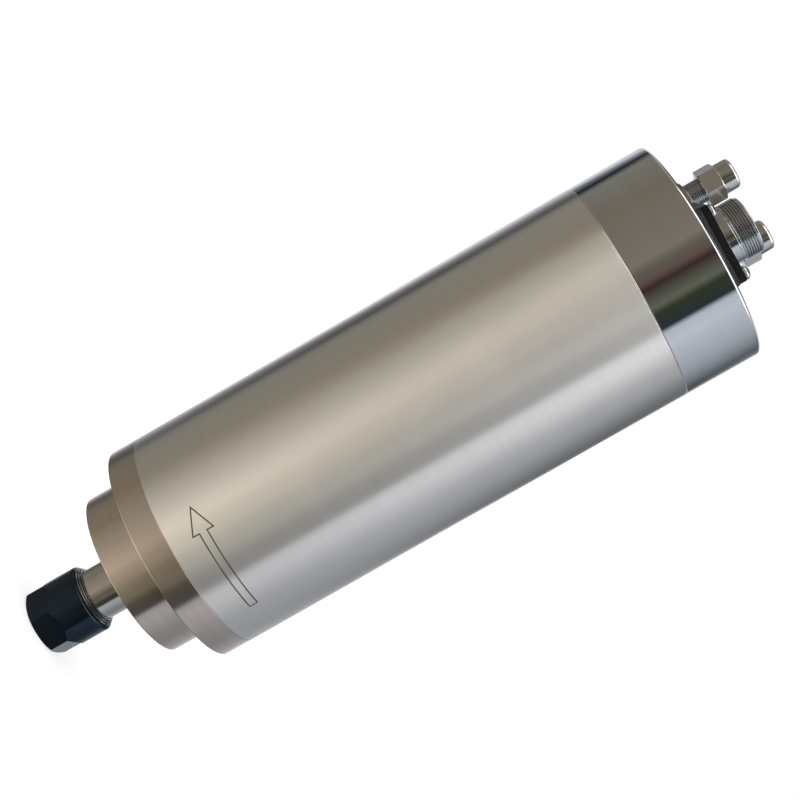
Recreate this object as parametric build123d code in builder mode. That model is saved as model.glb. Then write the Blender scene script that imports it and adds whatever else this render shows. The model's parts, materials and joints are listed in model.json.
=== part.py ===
from build123d import *
from dataclasses import dataclass
from math import cos, radians, sin, tan
import os

# Liquid-cooled motor spindle with a collet chuck.
# The spindle axis is Z: the collet points down (-Z) and the connectors point up (+Z).
# The origin lies on the axis at the middle of the barrel, where a clamp holds it.

# Casing
body_diameter = 80.0
barrel_length = 170.4
barrel_wall = 3.0
flange_length = 10.2
nose_diameter = 60.0
nose_length = 15.3
spigot_length = 12.0
cap_length = 27.9
cap_wall = 3.0
cap_floor = 5.0
cap_register = 2.3
rim_chamfer = 1.2
edge_break = 0.3
bearing_lip = 3.5

# Clearances
fit = 0.02
running_gap = 0.4
thread_gap = 0.05
taper_gap = 0.03
ball_gap = 0.15

# Front end of the nose
front_ring_diameter = 50.0
front_ring_thickness = 6.0
front_ring_relief = 0.8
spanner_holes = 4
spanner_hole = 2.4
spanner_hole_depth = 3.0
spanner_circle = 40.0
collar_diameter = 29.0
collar_width = 3.2
dust_cap_recess = 0.3


# Bearings
@dataclass(frozen=True)
class BearingSize:
    bore: float
    outside: float
    width: float
    ball: float
    balls: int
    ring_gap: float

    @property
    def pitch_radius(self):
        return (self.bore + self.outside) / 4


front_bearing = BearingSize(bore=25.0, outside=47.0, width=12.0, ball=6.35, balls=12, ring_gap=1.6)
rear_bearing = BearingSize(bore=15.0, outside=32.0, width=9.0, ball=4.76, balls=9, ring_gap=1.2)
spacer_width = 4.0
ball_roundness = 1.12
race_floor = 0.4
cage_rim = 1.6
lock_nut_diameter = 36.0
lock_nut_width = 8.0
lock_nut_relief = 1.4
lock_nut_slots = 4
lock_nut_slot = (4.0, 2.5)
rear_nut_diameter = 21.0
rear_nut_width = 5.0
preload_spring_height = 1.8
preload_spring_metal = 0.8

# Collet chuck
nut_reach = 37.1
nut_length = 22.4
nut_diameter = 24.6
nut_flats = 21.4
nut_flat_length = 9.6
nut_cutter_diameter = 19.0
nut_flat_direction = -76.0
nut_front_chamfer = (1.6, 1.0)
nut_rear_bevel = 2.7
nut_mouth_diameter = 14.4
nut_lip_diameter = 12.9
nut_lip_width = 1.0
nut_lip_gap = 0.2
nut_cone_relief = 0.3
nut_thread_relief = (0.6, 1.0)
collet_recess = 0.3
collet_length = 27.5
collet_diameter = 17.0
collet_ring = (13.8, 1.6)
collet_groove = (12.2, 1.8)
collet_shoulder_diameter = 14.0
collet_land = 0.5
collet_front_angle = 30.0
collet_back_angle = 8.0
collet_slits = 8
collet_slit = 0.5
collet_web = 4.0
tool_diameter = 6.0
tool_relief_diameter = 7.6
tool_grip_length = 20.0

# Shaft
thread_diameter = 19.0
thread_length = 13.0
neck_diameter = 18.9
shaft_gauge = 10.0
shaft_rear_diameter = 19.0
core_shoulder = 10.0
taper_overrun = 1.0
tool_well_diameter = 11.6
tool_well_length = 40.0

# Motor, from the water jacket inwards
stator_yoke = 3.2
stator_slots = 24
stator_slot = (6.6, 2.8)
slot_mouth = 1.4
slot_depth_from_bore = 1.2
coil_clearance = 0.2
end_turn_length = 15.0
end_turn_clearance = 1.5
air_gap = 0.4
rotor_length = 70.0
rotor_bars = 18
rotor_bar = (4.6, 2.0)
bar_bridge = 1.3
core_web = 1.7
end_ring_length = 6.0
end_ring_edge = 0.6
end_ring_web = 0.2

# Water jacket
jacket_wall = 6.0
channel_count = 8
channel_depth = 2.6
channel_rib = 5.0
channel_end_wall = 18.0
channel_window = 7.0
port_direction = 90.0
port_diameter = 3.2
port_inset = 0.5
seal_width = 2.4
seal_depth = 1.2
seal_end_distance = 13.5
seal_squeeze = 0.05

# Socket-head screws, M4
screw_diameter = 4.0
screw_head = (7.0, 4.0)
screw_key = (3.0, 2.0)
screw_gap = 0.2
screw_edge = 6.0
screw_count = 4
screw_start = 45.0
front_screw_length = 26.0
screw_bite = 10.0
screw_hole_end = 1.0
cap_post_diameter = 9.0

# Rear bearing shield
boss_diameter = 42.0
boss_length = 26.0
boss_lip = 2.0
boss_stand = 2.0
bearing_cover_thickness = 3.0

# Power socket
socket_side = 0.2
socket_edge = 21.0
socket_turn = 8.0
socket_flange = 28.0
socket_flange_thickness = 2.6
socket_corner = 3.0
socket_hole_pitch = 22.7
gasket_thickness = 2.0
socket_thread_diameter = 20.2
socket_base_diameter = 19.0
socket_base_length = 3.7
socket_shell_height = 11.0
socket_bore_diameter = 17.0
socket_neck_diameter = 18.0
insert_thickness = 6.0
insert_stand = 0.5
pin_count = 4
pin_circle = 9.0
pin_start = 45.0
pin_diameter = 2.2
pin_length = 5.6
pin_tail = 5.0
socket_screw = (3.0, 4.8, 1.9)
socket_screw_length = 8.0

# Hose fittings, each placed by its distance in from the rim and its direction
fitting_places = ((18.8, 145.6), (24.7, 64.4))
fitting_flat_direction = -95.0
fitting_hex = 11.0
fitting_hex_height = 5.6
fitting_washer = (13.0, 1.4)
fitting_thread_diameter = 8.0
fitting_stub_diameter = 9.0
fitting_stub_top = 17.0
fitting_bore = 3.6
nipple_diameter = 5.2
nipple_top = 19.2
ferrule_height = 1.2
hose_nut_flats = 12.2
hose_nut_low = 12.6
hose_nut_hex_length = 6.9
hose_nut_length = 12.4
hose_nut_top_diameter = 10.4
hose_diameter = 8.2
hose_mouth_length = 5.0
hose_nut_chamfer = 1.2

# Coolant pipes inside the rear cap
pipe_diameter = 3.6
pipe_bore = 2.6
pipe_drop = 8.0
pipe_bend = 4.5

# Places worked out from the sizes above
body_radius = body_diameter / 2
barrel_front = -barrel_length / 2
barrel_rear = barrel_length / 2
flange_front = barrel_front - flange_length
nose_front = flange_front - nose_length
cap_rear = barrel_rear + cap_length
cap_inside = cap_rear - cap_floor
jacket_radius = body_radius - barrel_wall
jacket_front = barrel_front + spigot_length
jacket_rear = barrel_rear - spigot_length

screw_circle = body_diameter - 2 * screw_edge
socket_centre = (socket_side, socket_edge - body_radius)
fitting_centres = tuple(
    ((body_radius - inset) * cos(radians(angle)), (body_radius - inset) * sin(radians(angle)))
    for inset, angle in fitting_places
)

stator_radius = jacket_radius - jacket_wall
slot_middle = stator_radius - stator_yoke - stator_slot[0] / 2
stator_bore_radius = slot_middle - stator_slot[0] / 2 - slot_depth_from_bore
rotor_radius = stator_bore_radius - air_gap
bar_middle = rotor_radius - bar_bridge - rotor_bar[0] / 2
bar_root = bar_middle - rotor_bar[0] / 2
shaft_core_radius = bar_root - core_web

front_bearing_low = nose_front + front_ring_thickness
second_bearing_low = front_bearing_low + front_bearing.width + spacer_width
front_stack_end = second_bearing_low + front_bearing.width
lock_nut_end = front_stack_end + lock_nut_width

boss_end = barrel_rear + cap_register + boss_stand
rear_stack_end = boss_end - preload_spring_height
fourth_bearing_low = rear_stack_end - rear_bearing.width
rear_bearing_low = fourth_bearing_low - rear_bearing.width - fit
shaft_end = rear_stack_end + rear_nut_width
boss_front = boss_end - boss_length

nut_front = nose_front - nut_reach
nut_rear = nut_front + nut_length
nut_radius = nut_diameter / 2
thread_radius = thread_diameter / 2
shaft_front = nut_front + shaft_gauge
collet_front = nut_front + collet_recess
collet_end = collet_front + collet_length
collet_ring_end = collet_front + collet_ring[1]
collet_groove_end = collet_ring_end + collet_groove[1]
collet_radius = collet_diameter / 2
front_cone = (collet_diameter - collet_shoulder_diameter) / 2 / tan(radians(collet_front_angle))
collet_land_low = collet_groove_end + front_cone
collet_land_high = collet_land_low + collet_land
back_slope = tan(radians(collet_back_angle))
collet_tail_radius = collet_radius - back_slope * (collet_end - collet_land_high)

coil_half = rotor_length / 2
channel_low = jacket_front + channel_end_wall
channel_high = jacket_rear - channel_end_wall
channel_floor = jacket_radius - channel_depth
channel_pitch = 360 / channel_count
port_radius = channel_floor - port_inset
port_angles = (port_direction - channel_pitch / 2, port_direction + channel_pitch / 2)

socket_flange_top = gasket_thickness + socket_flange_thickness
socket_top = socket_flange_top + socket_shell_height
insert_top = socket_flange_top + insert_stand
fitting_corner_direction = fitting_flat_direction + 30
hose_nut_low_z = cap_rear + hose_nut_low
hose_nut_hex_top_z = hose_nut_low_z + hose_nut_hex_length
hose_nut_top = hose_nut_low + hose_nut_length

down = Vector(0, 0, -1)


def half_section(*points):
    """Closed outline of (radius, height) points, on the plane through the axis."""
    with BuildSketch(Plane.XZ) as section:
        with BuildLine():
            Polyline(*points, close=True)
        make_face()
    return section.sketch


def ring_section(inner_radius, outer_radius, low, high):
    """Rectangular section of a plain ring about the axis."""
    return half_section(
        (inner_radius, low), (outer_radius, low), (outer_radius, high), (inner_radius, high)
    )


def collet_cone_radius(height):
    """Radius of the collet's long back cone at a height on the axis."""
    return collet_radius - back_slope * (height - collet_land_high)


def on_circle(radius, angle):
    """Point at a radius and an angle about the axis."""
    return (radius * cos(radians(angle)), radius * sin(radians(angle)))


def cap_screw(length):
    """Socket-head screw with the top of its head at the origin, pointing down."""
    with BuildPart() as screw:
        with BuildSketch():
            Circle(screw_head[0] / 2)
        extrude(amount=-screw_head[1])
        chamfer(screw.edges().group_by(Axis.Z)[-1], edge_break)
        with BuildSketch(Plane.XY.offset(-screw_head[1])):
            Circle(screw_diameter / 2 - fit)
        extrude(amount=-length)
        with BuildSketch():
            RegularPolygon(screw_key[0] / 2, 6, major_radius=False)
        extrude(amount=-screw_key[1], mode=Mode.SUBTRACT)
    return screw.part


def race_section(size, low, outer):
    """Section of a bearing ring with its ball groove; outer picks the outer ring."""
    middle = low + size.width / 2
    side = 1 if outer else -1
    land = size.pitch_radius + side * size.ring_gap
    floor = size.pitch_radius + side * (size.ball / 2 + ball_gap)
    wall = size.outside / 2 - fit if outer else size.bore / 2
    half_floor = race_floor * size.ball / 2
    half_mouth = size.ball / 2
    return half_section(
        (wall, low),
        (land, low),
        (land, middle - half_mouth),
        (floor, middle - half_floor),
        (floor, middle + half_floor),
        (land, middle + half_mouth),
        (land, low + size.width),
        (wall, low + size.width),
    )


def ball_row(size, low):
    """One bearing's ring of balls, each a cube cut to twenty-six flats inside its sphere."""
    half_side = size.ball / 2 / ball_roundness
    with BuildPart(Plane.XY.offset(low + size.width / 2)) as row:
        with PolarLocations(size.pitch_radius, size.balls):
            Box(2 * half_side, 2 * half_side, 2 * half_side)
        chamfer(row.edges(), half_side * (2 - 2**0.5))
    return row.part


def ball_cage(size, low):
    """One bearing's comb cage: a side ring whose fingers stand between the balls."""
    half_wall = size.ring_gap - running_gap
    finger_low = low + (size.width - size.ball) / 2 - cage_rim
    with BuildPart() as cage:
        with BuildSketch(Plane.XY.offset(finger_low)):
            Circle(size.pitch_radius + half_wall)
            Circle(size.pitch_radius - half_wall, mode=Mode.SUBTRACT)
            with PolarLocations(size.pitch_radius, size.balls):
                Circle(size.ball / 2 + ball_gap, mode=Mode.SUBTRACT)
        extrude(amount=cage_rim + size.ball)
        with BuildSketch(Plane.XY.offset(finger_low)):
            Circle(size.pitch_radius + half_wall)
            Circle(size.pitch_radius - half_wall, mode=Mode.SUBTRACT)
        extrude(amount=cage_rim - ball_gap)
    return cage.part


def finish(builder, label):
    """Name a finished piece and write it out."""
    builder.part.label = label
    export_step(builder.part, os.path.join("parts", label + ".step"))


os.makedirs("parts", exist_ok=True)

# Front housing: nose collar, clamping flange and spigot turned in one piece
with BuildPart() as front_housing:
    revolve(
        half_section(
            (front_ring_diameter / 2 + fit, nose_front),
            (nose_diameter / 2 - edge_break, nose_front),
            (nose_diameter / 2, nose_front + edge_break),
            (nose_diameter / 2, flange_front),
            (body_radius - edge_break, flange_front),
            (body_radius, flange_front + edge_break),
            (body_radius, barrel_front - edge_break),
            (body_radius - edge_break, barrel_front),
            (jacket_radius - fit, barrel_front),
            (jacket_radius - fit, jacket_front),
            (front_bearing.outside / 2 - bearing_lip, jacket_front),
            (front_bearing.outside / 2 - bearing_lip, front_stack_end),
            (front_bearing.outside / 2, front_stack_end),
            (front_bearing.outside / 2, front_bearing_low),
            (front_ring_diameter / 2 + fit, front_bearing_low),
        ),
        axis=Axis.Z,
    )
    with Locations(Plane(origin=(0, 0, flange_front), z_dir=down)):
        with PolarLocations(screw_circle / 2, screw_count, start_angle=screw_start):
            CounterBoreHole(
                radius=screw_diameter / 2 + screw_gap,
                counter_bore_radius=screw_head[0] / 2 + screw_gap,
                counter_bore_depth=screw_head[1] + screw_gap,
            )
finish(front_housing, "front_housing")

# Front ring: threaded ring that holds the bearings in, with spanner holes
with BuildPart() as front_ring:
    revolve(
        half_section(
            (collar_diameter / 2 + running_gap, nose_front),
            (front_ring_diameter / 2, nose_front),
            (front_ring_diameter / 2, front_bearing_low),
            (front_bearing.pitch_radius + front_bearing.ring_gap, front_bearing_low),
            (
                front_bearing.pitch_radius + front_bearing.ring_gap,
                front_bearing_low - front_ring_relief,
            ),
            (collar_diameter / 2 + running_gap, front_bearing_low - front_ring_relief),
        ),
        axis=Axis.Z,
    )
    with Locations(Plane(origin=(0, 0, nose_front), z_dir=down)):
        with PolarLocations(spanner_circle / 2, spanner_holes):
            Hole(spanner_hole / 2, depth=spanner_hole_depth)
finish(front_ring, "front_ring")

# Front flange screws, four as one node
with BuildPart() as front_screws:
    with Locations(Plane(origin=(0, 0, flange_front + screw_gap), z_dir=down)):
        with PolarLocations(screw_circle / 2, screw_count, start_angle=screw_start):
            add(cap_screw(front_screw_length))
finish(front_screws, "front_screws")

# Barrel: the polished outer tube that a clamp grips
with BuildPart() as barrel:
    revolve(
        half_section(
            (jacket_radius, barrel_front),
            (body_radius - edge_break, barrel_front),
            (body_radius, barrel_front + edge_break),
            (body_radius, barrel_rear - edge_break),
            (body_radius - edge_break, barrel_rear),
            (jacket_radius, barrel_rear),
        ),
        axis=Axis.Z,
    )
finish(barrel, "barrel")

# Water jacket: sleeve with long channels that link up at alternate ends
with BuildPart() as water_jacket:
    revolve(
        ring_section(stator_radius + fit, jacket_radius - fit, jacket_front, jacket_rear),
        axis=Axis.Z,
    )
    with BuildSketch(Plane.XY.offset(channel_low)):
        Circle(body_radius)
        Circle(channel_floor, mode=Mode.SUBTRACT)
        with PolarLocations(jacket_radius, channel_count, start_angle=port_direction):
            Rectangle(2 * (channel_depth + barrel_wall), channel_rib, mode=Mode.SUBTRACT)
    extrude(amount=channel_high - channel_low, mode=Mode.SUBTRACT)
    for rib in range(1, channel_count):
        window_low = channel_low if rib % 2 else channel_high - channel_window
        angle = port_direction + rib * channel_pitch
        window_centre = on_circle(channel_floor + body_radius / 2, angle)
        window_middle = (*window_centre, window_low + channel_window / 2)
        with Locations(Location(window_middle, (0, 0, angle))):
            Box(body_radius, channel_rib + 2 * fit, channel_window, mode=Mode.SUBTRACT)
    for side in (jacket_front + seal_end_distance, jacket_rear - seal_end_distance):
        revolve(
            ring_section(
                jacket_radius - seal_depth,
                body_radius,
                side - seal_width / 2,
                side + seal_width / 2,
            ),
            axis=Axis.Z,
            mode=Mode.SUBTRACT,
        )
    with BuildSketch(Plane.XY.offset(channel_high - channel_window)):
        with Locations(*(on_circle(port_radius, angle) for angle in port_angles)):
            Circle(port_diameter / 2)
    extrude(amount=jacket_rear, mode=Mode.SUBTRACT)
    for end, inward in ((jacket_front, 1), (jacket_rear, -1)):
        with BuildSketch(Plane.XY.offset(end)):
            with PolarLocations(screw_circle / 2, screw_count, start_angle=screw_start):
                Circle(screw_diameter / 2)
        extrude(amount=inward * (screw_bite + screw_hole_end), mode=Mode.SUBTRACT)
finish(water_jacket, "water_jacket")

# Jacket seals, two square-section rings as one node
with BuildPart() as jacket_seals:
    for side in (jacket_front + seal_end_distance, jacket_rear - seal_end_distance):
        revolve(
            ring_section(
                jacket_radius - seal_depth + seal_squeeze,
                jacket_radius - fit,
                side - seal_width / 2 + seal_squeeze,
                side + seal_width / 2 - seal_squeeze,
            ),
            axis=Axis.Z,
        )
finish(jacket_seals, "jacket_seals")

# Stator core: slotted iron pack
with BuildPart() as stator_core:
    with BuildSketch(Plane.XY.offset(-coil_half)):
        Circle(stator_radius)
        Circle(stator_bore_radius, mode=Mode.SUBTRACT)
        with PolarLocations(slot_middle, stator_slots):
            Rectangle(*stator_slot, mode=Mode.SUBTRACT)
        with PolarLocations(stator_bore_radius, stator_slots):
            Rectangle(2 * slot_depth_from_bore + stator_slot[1], slot_mouth, mode=Mode.SUBTRACT)
    extrude(amount=rotor_length)
finish(stator_core, "stator_core")

# Windings: a coil side in each slot, joined by the end turns
with BuildPart() as windings:
    with BuildSketch(Plane.XY.offset(-coil_half - coil_clearance)):
        with PolarLocations(slot_middle, stator_slots):
            Rectangle(stator_slot[0] - 2 * coil_clearance, stator_slot[1] - 2 * coil_clearance)
    extrude(amount=rotor_length + 2 * coil_clearance)
    for low in (-coil_half - coil_clearance - end_turn_length, coil_half + coil_clearance):
        revolve(
            ring_section(
                stator_bore_radius + end_turn_clearance,
                stator_radius - end_turn_clearance,
                low,
                low + end_turn_length,
            ),
            axis=Axis.Z,
        )
finish(windings, "windings")

# Rear shield: plate and boss that carry the rear bearings
with BuildPart() as rear_shield:
    shield_bore = rear_bearing.outside / 2
    lip_bore = shield_bore - boss_lip
    revolve(ring_section(lip_bore, jacket_radius - fit, jacket_rear, barrel_rear), axis=Axis.Z)
    revolve(
        ring_section(
            lip_bore, body_radius - cap_wall - fit, barrel_rear, barrel_rear + cap_register
        ),
        axis=Axis.Z,
    )
    revolve(ring_section(lip_bore, boss_diameter / 2, boss_front, boss_end), axis=Axis.Z)
    revolve(
        ring_section(0, shield_bore, rear_bearing_low, boss_end), axis=Axis.Z, mode=Mode.SUBTRACT
    )
    with BuildSketch(Plane.XY.offset(jacket_rear)):
        with Locations(*(on_circle(port_radius, angle) for angle in port_angles)):
            Circle(port_diameter / 2)
        with PolarLocations(screw_circle / 2, screw_count, start_angle=screw_start):
            Circle(screw_diameter / 2 + screw_gap)
    extrude(amount=spigot_length + cap_register, mode=Mode.SUBTRACT)
finish(rear_shield, "rear_shield")

# Rear bearing cover: closes the boss over the spring
with BuildPart() as bearing_cover:
    revolve(
        half_section(
            (rear_nut_diameter / 2 + 2 * running_gap, boss_end),
            (boss_diameter / 2, boss_end),
            (boss_diameter / 2, boss_end + bearing_cover_thickness),
            (rear_nut_diameter / 2 + 2 * running_gap, boss_end + bearing_cover_thickness),
        ),
        axis=Axis.Z,
    )
finish(bearing_cover, "bearing_cover")

# Preload spring: a cone-shaped disc that pushes on the last outer ring
with BuildPart() as preload_spring:
    inner = rear_bearing.pitch_radius + rear_bearing.ring_gap
    outer = rear_bearing.outside / 2 - 2 * fit
    rise = preload_spring_height - preload_spring_metal
    revolve(
        half_section(
            (inner, rear_stack_end + rise),
            (outer, rear_stack_end),
            (outer, rear_stack_end + preload_spring_metal),
            (inner, rear_stack_end + rise + preload_spring_metal),
        ),
        axis=Axis.Z,
    )
finish(preload_spring, "preload_spring")

# Rear cap: deep polished cap with screw posts inside and the connectors on its floor
with BuildPart() as rear_cap:
    revolve(
        half_section(
            (0, cap_inside),
            (body_radius - cap_wall, cap_inside),
            (body_radius - cap_wall, barrel_rear),
            (body_radius - edge_break, barrel_rear),
            (body_radius, barrel_rear + edge_break),
            (body_radius, cap_rear - rim_chamfer),
            (body_radius - rim_chamfer, cap_rear),
            (0, cap_rear),
        ),
        axis=Axis.Z,
    )
    with BuildSketch(Plane.XY.offset(barrel_rear + cap_register)):
        with PolarLocations(screw_circle / 2, screw_count, start_angle=screw_start):
            Circle(cap_post_diameter / 2)
    extrude(until=Until.NEXT)
    with Locations(Plane.XY.offset(cap_rear)):
        with PolarLocations(screw_circle / 2, screw_count, start_angle=screw_start):
            CounterBoreHole(
                radius=screw_diameter / 2 + screw_gap,
                counter_bore_radius=screw_head[0] / 2 + screw_gap,
                counter_bore_depth=screw_head[1] + screw_gap,
            )
        with Locations(*fitting_centres):
            Hole(fitting_thread_diameter / 2 + fit, depth=2 * cap_floor)
        with Locations(Location((*socket_centre, 0), (0, 0, socket_turn))):
            Hole(socket_neck_diameter / 2 + screw_gap, depth=2 * cap_floor)
            with GridLocations(socket_hole_pitch, socket_hole_pitch, 2, 2):
                Hole(socket_screw[0] / 2, depth=socket_screw_length)
finish(rear_cap, "rear_cap")

# Cap screws, four as one node
with BuildPart() as cap_screws:
    with Locations(Plane.XY.offset(cap_rear - screw_gap)):
        with PolarLocations(screw_circle / 2, screw_count, start_angle=screw_start):
            add(cap_screw(cap_rear - screw_gap - screw_head[1] - jacket_rear + screw_bite))
finish(cap_screws, "cap_screws")

# Power socket: gasket under a square flange
socket_plane = Plane(
    origin=(*socket_centre, cap_rear), x_dir=(*on_circle(1, socket_turn), 0), z_dir=(0, 0, 1)
)
with BuildPart() as socket_gasket:
    with BuildSketch(socket_plane):
        RectangleRounded(socket_flange, socket_flange, socket_corner)
        Circle(socket_neck_diameter / 2 + screw_gap, mode=Mode.SUBTRACT)
        with GridLocations(socket_hole_pitch, socket_hole_pitch, 2, 2):
            Circle(socket_screw[0] / 2 + screw_gap, mode=Mode.SUBTRACT)
    extrude(amount=gasket_thickness)
finish(socket_gasket, "socket_gasket")

# Power socket: shell with its square flange
with BuildPart() as socket_shell:
    with BuildSketch(socket_plane.offset(gasket_thickness)):
        RectangleRounded(socket_flange, socket_flange, socket_corner)
    extrude(amount=socket_flange_thickness)
    with BuildSketch(socket_plane.offset(gasket_thickness)):
        Circle(socket_base_diameter / 2)
    extrude(amount=socket_flange_thickness + socket_base_length)
    with BuildSketch(socket_plane.offset(socket_flange_top + socket_base_length)):
        Circle(socket_thread_diameter / 2)
    extrude(amount=socket_shell_height - socket_base_length)
    with BuildSketch(socket_plane.offset(gasket_thickness)):
        Circle(socket_neck_diameter / 2)
    extrude(amount=-(gasket_thickness + cap_floor))
    with BuildSketch(socket_plane.offset(-cap_floor)):
        Circle(socket_bore_diameter / 2)
    extrude(amount=cap_floor + socket_top, mode=Mode.SUBTRACT)
    with BuildSketch(socket_plane.offset(gasket_thickness)):
        with GridLocations(socket_hole_pitch, socket_hole_pitch, 2, 2):
            Circle(socket_screw[0] / 2 + screw_gap)
    extrude(amount=socket_flange_thickness, mode=Mode.SUBTRACT)
finish(socket_shell, "socket_shell")

# Power socket: insulating insert that holds the pins
insert_plane = socket_plane.offset(insert_top - insert_thickness)
with BuildPart() as socket_insert:
    with BuildSketch(insert_plane):
        Circle(socket_bore_diameter / 2 - fit)
        with PolarLocations(pin_circle / 2, pin_count, start_angle=pin_start):
            Circle(pin_diameter / 2 + fit, mode=Mode.SUBTRACT)
    extrude(amount=insert_thickness)
finish(socket_insert, "socket_insert")

# Contact pins, four as one node
with BuildPart() as contact_pins:
    with BuildSketch(insert_plane.offset(-pin_tail)):
        with PolarLocations(pin_circle / 2, pin_count, start_angle=pin_start):
            Circle(pin_diameter / 2)
    extrude(amount=pin_tail + insert_thickness + pin_length)
    chamfer(contact_pins.edges().group_by(Axis.Z)[-1], edge_break)
finish(contact_pins, "contact_pins")

# Socket screws, four pan-head screws as one node
with BuildPart() as socket_screws:
    with BuildSketch(socket_plane.offset(socket_flange_top)):
        with GridLocations(socket_hole_pitch, socket_hole_pitch, 2, 2):
            Circle(socket_screw[1] / 2)
    extrude(amount=socket_screw[2])
    chamfer(socket_screws.edges().group_by(Axis.Z)[-1], socket_screw[2] / 2)
    with BuildSketch(socket_plane.offset(socket_flange_top)):
        with GridLocations(socket_hole_pitch, socket_hole_pitch, 2, 2):
            Circle(socket_screw[0] / 2 - fit)
    extrude(amount=-socket_screw_length)
finish(socket_screws, "socket_screws")

# Hose fittings: washer, stem, clamping ring and cap nut, one set for each port
for number, centre in enumerate(fitting_centres, start=1):
    base = Plane(origin=(*centre, cap_rear), x_dir=(1, 0, 0), z_dir=(0, 0, 1))
    axis = Axis((*centre, 0), (0, 0, 1))

    with BuildPart() as fitting_washer_ring:
        with BuildSketch(base):
            Circle(fitting_washer[0] / 2)
            Circle(fitting_thread_diameter / 2 + screw_gap, mode=Mode.SUBTRACT)
        extrude(amount=fitting_washer[1])
    finish(fitting_washer_ring, f"fitting_washer_{number}")

    with BuildPart() as fitting_stem:
        with BuildSketch(base.offset(fitting_washer[1])):
            RegularPolygon(fitting_hex / 2, 6, major_radius=False, rotation=fitting_corner_direction)
        extrude(amount=fitting_hex_height)
        with BuildSketch(base.offset(fitting_washer[1])):
            Circle(fitting_stub_diameter / 2)
        extrude(amount=fitting_stub_top - fitting_washer[1])
        with BuildSketch(base.offset(fitting_stub_top)):
            Circle(nipple_diameter / 2)
        extrude(amount=nipple_top - fitting_stub_top)
        with BuildSketch(base.offset(fitting_washer[1])):
            Circle(fitting_thread_diameter / 2)
        extrude(amount=-(fitting_washer[1] + cap_floor))
        with BuildSketch(base.offset(-cap_floor)):
            Circle(fitting_bore / 2)
        extrude(amount=cap_floor + nipple_top, mode=Mode.SUBTRACT)
    finish(fitting_stem, f"fitting_stem_{number}")

    with BuildPart() as ferrule:
        with BuildSketch(base.offset(fitting_stub_top + fit)):
            Circle(fitting_stub_diameter / 2 - fit)
            Circle(nipple_diameter / 2 + running_gap, mode=Mode.SUBTRACT)
        extrude(amount=ferrule_height)
    finish(ferrule, f"hose_ferrule_{number}")

    with BuildPart() as hose_nut:
        with BuildSketch(base.offset(hose_nut_low)):
            RegularPolygon(
                hose_nut_flats / 2, 6, major_radius=False, rotation=fitting_corner_direction
            )
        extrude(amount=hose_nut_hex_length)
        corner = hose_nut_flats / 2 / cos(radians(30))
        with BuildSketch(Plane(origin=(*centre, 0), x_dir=(1, 0, 0), z_dir=(0, -1, 0))):
            with BuildLine():
                Polyline(
                    (0, hose_nut_low_z),
                    (corner - hose_nut_chamfer, hose_nut_low_z),
                    (corner, hose_nut_low_z + hose_nut_chamfer / 2),
                    (corner, hose_nut_hex_top_z - hose_nut_chamfer / 2),
                    (corner - hose_nut_chamfer, hose_nut_hex_top_z),
                    (0, hose_nut_hex_top_z),
                    close=True,
                )
            make_face()
        revolve(axis=axis, mode=Mode.INTERSECT)
        with BuildSketch(base.offset(hose_nut_low + hose_nut_hex_length)):
            Circle(hose_nut_flats / 2)
        with BuildSketch(base.offset(hose_nut_top)):
            Circle(hose_nut_top_diameter / 2)
        loft()
        with BuildSketch(base.offset(hose_nut_low)):
            Circle(fitting_stub_diameter / 2 + thread_gap)
        extrude(amount=hose_nut_length - hose_mouth_length, mode=Mode.SUBTRACT)
        with BuildSketch(base.offset(hose_nut_low)):
            Circle(hose_diameter / 2)
        extrude(amount=hose_nut_length, mode=Mode.SUBTRACT)
    finish(hose_nut, f"hose_nut_{number}")

# Coolant pipes from each fitting to its port in the shield
for number, (centre, angle) in enumerate(zip(fitting_centres, reversed(port_angles)), start=1):
    port = on_circle(port_radius, angle)
    turn_z = cap_inside - pipe_drop
    with BuildPart() as coolant_pipe:
        with BuildLine() as route:
            FilletPolyline(
                (*centre, cap_inside),
                (*centre, turn_z),
                (*port, turn_z),
                (*port, barrel_rear + cap_register),
                radius=pipe_bend,
            )
        with BuildSketch(Plane(origin=(*centre, cap_inside), z_dir=down)):
            Circle(pipe_diameter / 2)
            Circle(pipe_bore / 2, mode=Mode.SUBTRACT)
        sweep(path=route.wires()[0])
    finish(coolant_pipe, f"coolant_pipe_{number}")

# Shaft: collet taper and thread at the front, bearing seats and motor seat behind
with BuildPart() as shaft:
    revolve(
        half_section(
            (0, shaft_front),
            (thread_radius - edge_break, shaft_front),
            (thread_radius, shaft_front + edge_break),
            (thread_radius, shaft_front + thread_length),
            (neck_diameter / 2, shaft_front + thread_length),
            (neck_diameter / 2, front_bearing_low - collar_width),
            (collar_diameter / 2, front_bearing_low - collar_width),
            (collar_diameter / 2, front_bearing_low),
            (front_bearing.bore / 2 - fit, front_bearing_low),
            (front_bearing.bore / 2 - fit, lock_nut_end),
            (shaft_core_radius, lock_nut_end),
            (shaft_core_radius, coil_half + core_shoulder),
            (shaft_rear_diameter / 2, coil_half + core_shoulder),
            (shaft_rear_diameter / 2, rear_bearing_low),
            (rear_bearing.bore / 2 - fit, rear_bearing_low),
            (rear_bearing.bore / 2 - fit, shaft_end - edge_break),
            (rear_bearing.bore / 2 - fit - edge_break, shaft_end),
            (0, shaft_end),
        ),
        axis=Axis.Z,
    )
    taper_end = collet_end + taper_overrun
    revolve(
        half_section(
            (0, shaft_front),
            (collet_cone_radius(shaft_front) + taper_gap, shaft_front),
            (collet_cone_radius(taper_end) + taper_gap, taper_end),
            (tool_well_diameter / 2, taper_end),
            (tool_well_diameter / 2, taper_end + tool_well_length),
            (0, taper_end + tool_well_length + tool_well_diameter / 4),
        ),
        axis=Axis.Z,
        mode=Mode.SUBTRACT,
    )
finish(shaft, "shaft")

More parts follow.
